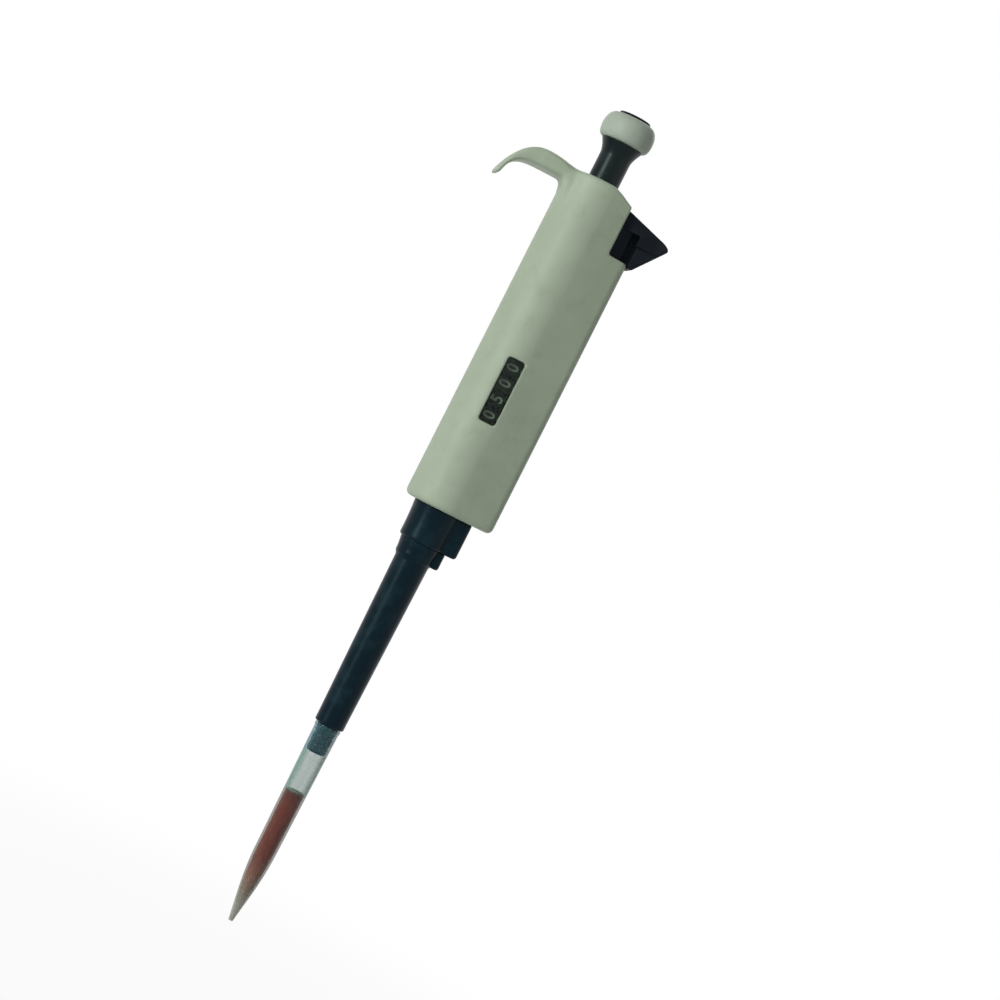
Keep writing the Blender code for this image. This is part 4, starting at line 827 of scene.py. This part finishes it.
def makeDigits(name, body, row, figures):
    # figures a tenth of a turn apart; y of a figure runs round the wheel, x up the axis
    d = named(digitSize)
    centre = d.first + row * d.pitch
    allPoints, allFaces, count = [], [], 0
    for k, figure in enumerate(figures):
        points, faces = figureShapes[figure]
        middle = (points.max(axis=0) + points.min(axis=0)) / 2
        flat = (points - middle) * [*figureScale, 1]
        angle = -quarter - k * pi / 5 - flat[:, 1] / d.radius
        radius = d.radius - d.sunk + d.lift * (points[:, 2] > 0.5)
        allPoints.append(columns(radius * np.cos(angle), radius * np.sin(angle), centre + flat[:, 0]))
        allFaces += [[v + count for v in face] for face in faces]
        count += len(points)
    piece = shapeMesh(name, np.vstack(allPoints), allFaces, digitGrey)
    standsFor(creased(piece, 30), body, "white_plastic")


makeWindow()
makeDigits("thousandsDigits", "thousands", 0, "0123456789")
makeDigits("hundredsDigits", "hundreds", 1, "5678901234")
makeDigits("tensDigits", "tens", 2, "0123456789")
makeDigits("onesDigits", "spindle", 3, "0505050505")
print("window and digits made")


buttonSize = {
    "bottom": 287.7, "height": 9.8, "radius": 9.2, "foot": 7.5, "top": 6.3,
    "brimDrop": 0.75,  # the dark insert stands above the brim
    "insert": 5.6, "dish": 0.55, "bore": 2.97,
}


def makeButton():
    # a mushroom, widest a little below the middle
    b = named(buttonSize)
    low, high, radius, top = b.bottom, b.bottom + b.height, b.radius, b.top
    waist, brim = low + 0.42 * b.height, high - b.brimDrop
    side = np.vstack([
        curvePoints((b.foot, low), (radius - 0.4, low + 0.3), (radius, waist - 2.2), (radius, waist)),
        curvePoints((radius, waist), (radius, waist + 2.2), (top + 1.9, brim), (top, brim))[1:],
    ])
    room = softCorners([(b.bore, low), (b.bore, high - 2.5), (0, high - 2.5)], 0.2)[::-1]
    hole = b.insert + 0.2
    recess = softCorners([(top, brim), (hole, brim), (hole, high - 1.2), (0, high - 1.2)], 0.2)
    piece = spun("thumbButton", np.vstack([room, side, recess]), buttonCream, steps=128)
    standsFor(piece, "knob", "button_plastic", "push_button")
    # a dished insert with a small raised rim
    edge = b.insert
    across = np.linspace(0, edge - 0.5, 16)
    dish = columns(across, high - b.dish + b.dish * (across / (edge - 0.5)) ** 2)
    rim = softCorners([(edge - 0.5, high), (edge - 0.3, high + 0.2), (edge, high), (edge, high - 1),
                       (0, high - 1)], 0.15)
    insert = spun("buttonInsert", np.vstack([dish, rim]), leverDark)
    standsFor(insert, "knob", "black_plastic", "button_cap")


stemSize = {"low": 250.35, "high": 287.4, "radius": 5.4, "bore": 3.1, "flare": 1.8, "flareLength": 5}


def makeStem():
    # a round stem whose top flares by f(1 - d/L)^1.6, d being the depth below the button
    s = named(stemSize)
    depth = np.linspace(0, s.flareLength, 24)
    flare = columns(s.radius + s.flare * (1 - depth / s.flareLength) ** 1.6, s.high - depth)
    foot = softCorners([flare[-1], (s.radius, s.low), (s.bore, s.low), (s.bore, s.high),
                        flare[0]], 0.3)
    piece = spun("plungerStem", np.vstack([flare, foot[7:-7]]), stemDark, 45, hollow=True)
    standsFor(piece, "knob", "black_plastic", "plunger_sleeve")


def hollowPart(name, node, finish, sharp, rounding, wall):
    # a turned part on the handle, by the radius and height of the points round its wall
    piece = spun(name, softCorners(wall, rounding, 5, closed=True), finish, sharp, hollow=True)
    standsFor(piece, "handle", "black_plastic", node)


makeButton()
makeStem()
hollowPart("guideBush", "top_guide_bush", dark, 45, 0.22, [
    (5.7, 270.6), (6.7, 272.6), (7, 272.6), (7, 270.4), (9, 270.4), (9, 268.2), (7, 268.2),
    (7, 262), (5.7, 262),
])
print("button, stem and bush made")


leverSize = {
    "top": 268.8, "nose": (29, 262.4), "foot": 251.6, "inner": 11.7, "face": 17.2, "plate": 262.9,
    "blockReach": 16.65, "blockLow": 248, "halfWidth": 6.6, "neck": 2.4, "neckReach": 20.2,
    "heel": 20.8, "facetTop": 259.4, "facetNose": 26.4, "facetDepth": 1.5, "voxel": 0.22,
}


def makeLever():
    # outside a wedge for the thumb, inside a block that fills the notch, a neck between
    v = named(leverSize)
    foot, face, plate, low, side = v.foot, v.face, v.plate, v.blockLow, v.halfWidth
    tip, nose = v.nose
    line = np.vstack([
        [(v.inner, plate), (v.inner, v.top)],
        curvePoints((tip - 4.2, nose + 2.6), (tip - 2, nose + 2.1), (tip, nose + 1.2), (tip, nose), 10),
        [(tip - 0.6, nose - 0.9), (v.heel, foot), (face, foot), (face, plate)],
    ])
    lever = raised("ejectorLever", line, -side, side, leverDark, across=True)
    # the wedge's back follows the handle's round end, with room to slide
    cut(lever, raised("wallRoom", handleOutline(-0.35), foot - 2, plate))
    block = insideStrip("leverBlock", handleSize["wall"] + 0.6, v.inner, v.blockReach, low, plate + 0.5)
    neckLow = (v.blockReach - 0.5, -v.neck, foot + 0.3)
    joined(lever, block, boxed("leverNeck", neckLow, (v.neckReach, v.neck, plate + 1)))
    # each side's lower part is a three-sided facet that turns away to the handle
    corners = [(face, v.facetTop), (face, foot - 2), (v.facetNose, v.facetTop)]
    depths = (v.facetDepth, v.facetDepth, 0)
    facets = []
    for hand in (-1, 1):
        outer = [(x, hand * (side + 0.4), z) for x, z in corners]
        inner = [(x, hand * (side - depth), z) for (x, z), depth in zip(corners, depths)]
        facets.append(gridSolid("facet", np.array([outer, inner]), leverDark))
    socket = rod("rodSocket", boreSize["socket"], low - 2, low + 7.3, boreSize["springPlace"], 24)
    cut(lever, socket, *facets)
    softened(lever, v.voxel, 5)
    standsFor(lever, "ejector", "black_plastic", "ejector_lever")


def lugBar(name, reach, width, corner, *rest):
    # a bar from the axis to one side, with two round corners
    def outlineAt(inset):
        far, side = reach - inset, width / 2 - inset
        return softCorners([(0, -side), (far, -side), (far, side), (0, side)],
                           [0, corner - inset, corner - inset, 0], 9, closed=True)
    return roundedBar(name, outlineAt, *rest, dark)


collarSize = {
    "low": 139.85, "high": 152.55, "flareFrom": 143, "radius": 8, "flare": 0.5, "reach": 12.5,
    "width": 8.8, "corner": 2.4, "room": 7.2, "floor": 1.5, "bore": 6.1, "socketLow": 146,
    "voxel": 0.25,
}


def makeCollar():
    k = named(collarSize)
    low, high, radius, start = k.low, k.high, k.radius, k.flareFrom
    # the barrel opens towards its top: r + f((z - a) / (b - a))^2 above the height a
    rise = np.linspace(0, 1, 12)
    side = columns(radius + k.flare * rise**2, start + (high - start) * rise)
    profile = np.vstack([[(0, low), (radius - 0.5, low), (radius, low + 0.5)], side, [(0, high)]])
    collar = spun("ejectorCollar", profile, dark)
    joined(collar, lugBar("collarLug", k.reach, k.width, k.corner, low, high, 1.1, 0.3))
    cut(collar,
        rod("collarRoom", k.room, low + k.floor, high + 2, steps=96),
        rod("collarBore", k.bore, low - 2, high, steps=64),
        rod("collarSocket", boreSize["socket"], k.socketLow, high + 2, boreSize["rodPlace"], 24),
    )
    softened(collar, k.voxel, 5)
    standsFor(collar, "ejector", "black_plastic", "ejector_collar")


tubeSize = {
    "end": 72.3, "endRadius": 5.15, "lipRadius": 5.18, "bore": 5.2, "head": 133.4, "topRadius": 6,
    "headRadius": 6.7, "headTop": 139.87,
    "lug": (8.9, 6.4, 1.9),  # reach, width and corner
    "lugVoxel": 0.16,
}


def makeTube():
    # a slow taper with a lipped end, and the head that the collar sits on
    t = named(tubeSize)
    end, head, top, wide, lip = t.end, t.head, t.headTop, t.headRadius, t.lipRadius
    outer = softCorners([
        (5.8, 141.2), (5.8, top), (wide + 0.5, top), (wide, head + 3), (wide, head + 1.2),
        (t.topRadius, head),
        (lip, end + 2.6), (lip, end + 0.3), (t.endRadius - 0.5, end), (4, end), (4, end + 4),
        (4.46, end + 7), (t.bore, 120), (t.bore, 141.2),
    ], [0.15, 0.1, 0.2, 1.2, 0.7, 0.6, 1.2, 0.35, 0.25, 0.15, 0.2, 0.5, 0.5, 0.1], 7, closed=True)
    piece = spun("ejectorTube", outer, dark, steps=128, hollow=True)
    standsFor(piece, "ejector", "black_plastic", "ejector_sleeve")
    lug = lugBar("tubeLug", *t.lug, head + 0.6, top, 0.9, 0.15)
    cut(lug, rod("lugRoom", wide - 0.6, head - 2, top + 2, steps=64))
    softened(lug, t.lugVoxel, 5)
    standsFor(lug, "ejector", "black_plastic")


makeLever()
makeCollar()
makeTube()
print("ejector pieces made")


def tipRadius(height):
    # it swells as a sine to the waist, then tapers straight to the rim
    t = named(tipSize)
    rise = np.sin(np.clip(height / t.waistHeight, 0, 1) * quarter) ** t.swell
    low = t.end + (t.waist - t.end) * rise
    high = t.waist + (t.top - t.waist) * (height - t.waistHeight) / (t.length - t.waistHeight)
    return np.where(height < t.waistHeight, low, high)


def tipBore(height):
    wall = tipSize["wall"] * (0.6 + 0.4 * np.clip(height / tipSize["waistHeight"], 0, 1))
    return tipRadius(height) - wall


def makeTip():
    t = named(tipSize)
    waist, foot, top = t.waistHeight, t.rimFoot, t.length
    height = np.concatenate([np.linspace(0.25, waist, 40), np.linspace(waist, foot, 24)[1:]])
    rim = softCorners([(tipRadius(np.array(foot)), foot), (t.rim, foot + 0.4), (t.rim, top), (3.95, top),
                       (3.9, foot + 0.2)], [0, 0.3, 0.3, 0.25, 0.2], 7)
    down = np.linspace(70, 0.2, 60)
    end = [(tipBore(np.array(0)), 0), (t.end - 0.08, 0)]
    profile = np.vstack([columns(tipRadius(height), height), rim, columns(tipBore(down), down), end])
    piece = spun("tipShell", profile, clearTip, 60, hollow=True)
    standsFor(piece, "tip", "tip_plastic", "pipette_tip")
    # the sample stands against the wall, with a hollow top
    level = tipLook["level"]
    height = np.linspace(0.4, level, 48)
    side = columns(tipBore(height) - 0.20 * np.clip(height / 12, 0.2, 1), height)
    inward = np.linspace(1, 0, 14)[1:]
    bow = columns(side[-1, 0] * inward, level - 0.9 * (1 - inward**2))
    sample = spun("sampleColumn", np.vstack([[(0, 0.4)], side, bow]), sampleRed, 60, 64)
    standsFor(sample, "tip", "sample", "sample_liquid")


makeTip()
# the cylinder and the long nozzle in one piece, with two shallow rings where the tip grips
hollowPart("coneAndNozzle", "tip_cone", stemDark, 50, 0.3, [
    (1.5, 62.2), (1.5, 125), (4, 125), (4, 154), (4.9, 154), (4.9, 144.55), (6, 144.55),
    (6, 142.95), (4.9, 142.95), (4.9, 123.8), (3.9, 119.8), (3.9, 80), (3.7, 72), (3.62, 69.6),
    (3.46, 69.2), (3.46, 68.4), (3.58, 68), (3.54, 66.2), (3.40, 65.8), (3.40, 65), (3.50, 64.6),
    (3.45, 62.9), (2.9, 62.2),
])
print("tip, sample and nozzle made")


springSize = {
    # mean radius, wire, the seats below and above it, turns
    "main": (4.6, 0.8, 213.5, 247.25, 9),
    "blowOut": (7.6, 1.3, 213.5, 228.95, 4),
    "ejector": (1.85, 0.5, 226, 248, 8),
    "play": 0.3,  # between a seat and the wire
    "lowerTurns": 3,  # of the main spring, made as a piece of their own
}
strokeSize = {"plunger_stroke": 10, "blow_out": 3, "ejector_stroke": 10}


def springPart(name, which, first=0, last=None, reach=0):
    # a wire round the axis: x = r cos a, y = r sin a; z climbs less in the closed first and last turn
    radius, wire, low, high, turns = springSize[which]
    play = springSize["play"] + wire / 2
    last = last or turns
    turn = np.linspace(first, last, int(48 * (last - first)))
    foot, head = low + play, high - play
    height = np.interp(turn, [0, 1, turns - 1, turns], [foot, foot + 1.1 * wire, head - 1.1 * wire, head])
    around, angle = roundAngles(14), (turn * 2 * pi)[:, None]
    r = radius + wire / 2 * np.cos(around)
    z = height[:, None] + wire / 2 * np.sin(around)
    rings = columns(reach + r * np.cos(angle), r * np.sin(angle), z)
    piece = creased(gridSolid(name, rings, springSteel), 50)
    return piece, float(height[0]), float(height[-1]) + wire / 2


def inRow(reach, height):
    return tuple(((axisPlace + [reach, 0, height]) * 0.001).tolist())


def pressed(piece, joint, foot, top, reach=0):
    # gives the spring its own mesh; the share of it that stays at the joint's stroke is worked out but
    # not used
    keep = 1 - strokeSize[joint] / (top - foot)
    inRow(reach, foot)
    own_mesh(piece)


def makeSprings():
    s, reach = named(springSize), boreSize["springPlace"][0]
    lower, foot, top = springPart("mainSpringLower", "main", 0, s.lowerTurns)
    inRow(0, foot)
    inRow(0, top - s.main[1] / 2)
    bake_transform(lower)
    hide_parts("main_spring")
    upper, foot, top = springPart("mainSpringUpper", "main", s.lowerTurns + 0.002)
    standsFor(upper, "first_stop", "spring_steel")
    pressed(upper, "plunger_stroke", foot, top)
    blowOut, foot, top = springPart("blowOutSpring", "blowOut")
    standsFor(blowOut, "handle", "spring_steel", "blow_out_spring")
    pressed(blowOut, "blow_out", s.blowOut[2], top)
    ejector, foot, top = springPart("ejectorSpring", "ejector", reach=reach)
    standsFor(ejector, "handle", "spring_steel", "ejector_spring")
    pressed(ejector, "ejector_stroke", s.ejector[2], top, reach)


makeSprings()
print("springs made")


nodeFinish = {
    steel: "pinion_axle control_rod piston ejector_rod first_stop_disc",
    brass: "housing_cap piston_carrier carry_pinion_tens carry_pinion_hundreds carry_pinion_thousands",
    white: "spring_housing counter_frame counter_drive_sleeve stop_collar piston_seal coupling_nut",
    wheelBlack: "ones_wheel tens_wheel hundreds_wheel thousands_wheel",
    rubber: "cone_o_ring piston_o_ring",
}
for finish, names in nodeFinish.items():
    for name in names.split():
        for slot in nodes[name].material_slots:
            slot.material = finish
print("inner parts finished")


stageSize = {"drop": 0.029, "size": 6, "fadeAt": (0.08, 0.34), "plainShare": 0.90}  # in metres


def whitened(lit, share, kind, end):
    # plain white for what the camera sees straight on, reflected or through something clear
    kinds = ("Camera", "Glossy", "Transmission")
    seenWhite = sum(lit.make("LightPath", output="Is %s Ray" % ray) for ray in kinds).clamped()
    plain = lit.make(kind, {}, {"Color": (1, 1, 1, 1), "Strength": 1})
    mixed = lit.make("MixShader", {}, {0: seenWhite * share, 1: lit, 2: plain})
    lit.tree.links.new(mixed.socket, lit.tree.nodes[end].inputs["Surface"])


def makeFloor():
    # pale, and far off plain white, so that only the soft shadow near the tip shows
    s = named(stageSize)
    level, size, near = axisPlace[2] * 0.001 - s.drop, s.size, s.plainShare
    mesh = bpy.data.meshes.new("floor")
    corners = [(-size, -size, level), (size, -size, level), (size, size, level), (-size, size, level)]
    mesh.from_pydata(corners, [], [(0, 1, 2, 3)])
    place, feed = newFinish("floor", Roughness=0.9)
    grain = place.noise(90).between(0.2, 0.8)
    material = feed(Base_Color=grain.blend((0.90, 0.90, 0.90), (0.94, 0.94, 0.94)))
    sockets = {0: place, 1: (axisPlace[0] * 0.001, 0, level)}
    far = place.make("VectorMath", {"operation": "DISTANCE"}, sockets, "Value").between(*s.fadeAt)
    lit = Wire(place.tree.nodes["Principled BSDF"].outputs[0])
    whitened(lit, near + (1 - near) * far, "Emission", "Material Output")
    mesh.materials.append(material)
    placedObject("floor", mesh)


def makeWorld(strength, tint):
    # soft studio light, itself seen as plain white
    world = bpy.data.worlds.new("studio")
    bpy.context.scene.world = world
    world.use_nodes = True
    light = world.node_tree.nodes["Background"]
    light.inputs["Color"].default_value = (*tint, 1)
    light.inputs["Strength"].default_value = strength
    whitened(Wire(light.outputs[0]), 1, "Background", "World Output")


lampSet = [
    # name, place in metres, width and height, watts, colour
    ("key", (-0.98, -0.80, 0.26), (0.30, 1), 12, (1, 1, 0.985)),
    ("fill", (1.10, -0.75, 0.10), (0.9, 0.9), 0.7, (1, 0.90, 0.72)),
    ("rim", (0.35, 1.00, 0.50), (0.7, 0.7), 4, (0.92, 0.97, 1)),
]


def makeLamps(middle):
    for name, place, size, watts, colour in lampSet:
        lamp = setUp(bpy.data.lights.new(name, "AREA"), shape="RECTANGLE", energy=watts, color=colour)
        lamp.size, lamp.size_y = size
        holder = placedObject(name, lamp)
        holder.location = place
        holder.rotation_euler = (middle - Vector(place)).to_track_quat("-Z", "Y").to_euler()


cameraSize = {
    "lens": 100, "distance": 0.92, "azimuth": 7.65, "roll": 26.81, "middle": 148.75,
    "shift": (22.24, 6.41),
}


def makeCamera():
    # the photograph's view: level, a little to the left, and rolled
    c = named(cameraSize)
    a, roll = radians(c.azimuth), radians(c.roll)
    level = Vector((cos(a), -sin(a), 0))
    upright = Vector((0, 0, 1))
    forward = Vector((sin(a), cos(a), 0))
    right = cos(roll) * level + sin(roll) * upright
    up = cos(roll) * upright - sin(roll) * level
    target = Vector(inRow(0, c.middle)) + (right * c.shift[0] + up * c.shift[1]) * 0.001
    data = setUp(bpy.data.cameras.new("camera"), lens=c.lens, sensor_width=36, clip_start=0.05)
    camera = placedObject("camera", data)
    place = target - forward * c.distance
    turned = Matrix((right, up, -forward)).transposed().to_4x4()
    camera.matrix_world = Matrix.Translation(place) @ turned
    bpy.context.scene.camera = camera


makeFloor()
makeWorld(0.17, (0.97, 1, 0.99))
makeLamps(Vector((0.018, 0, -0.12)))
makeCamera()
bpy.context.scene.view_settings.view_transform = "Standard"
print("stage, light and camera made")
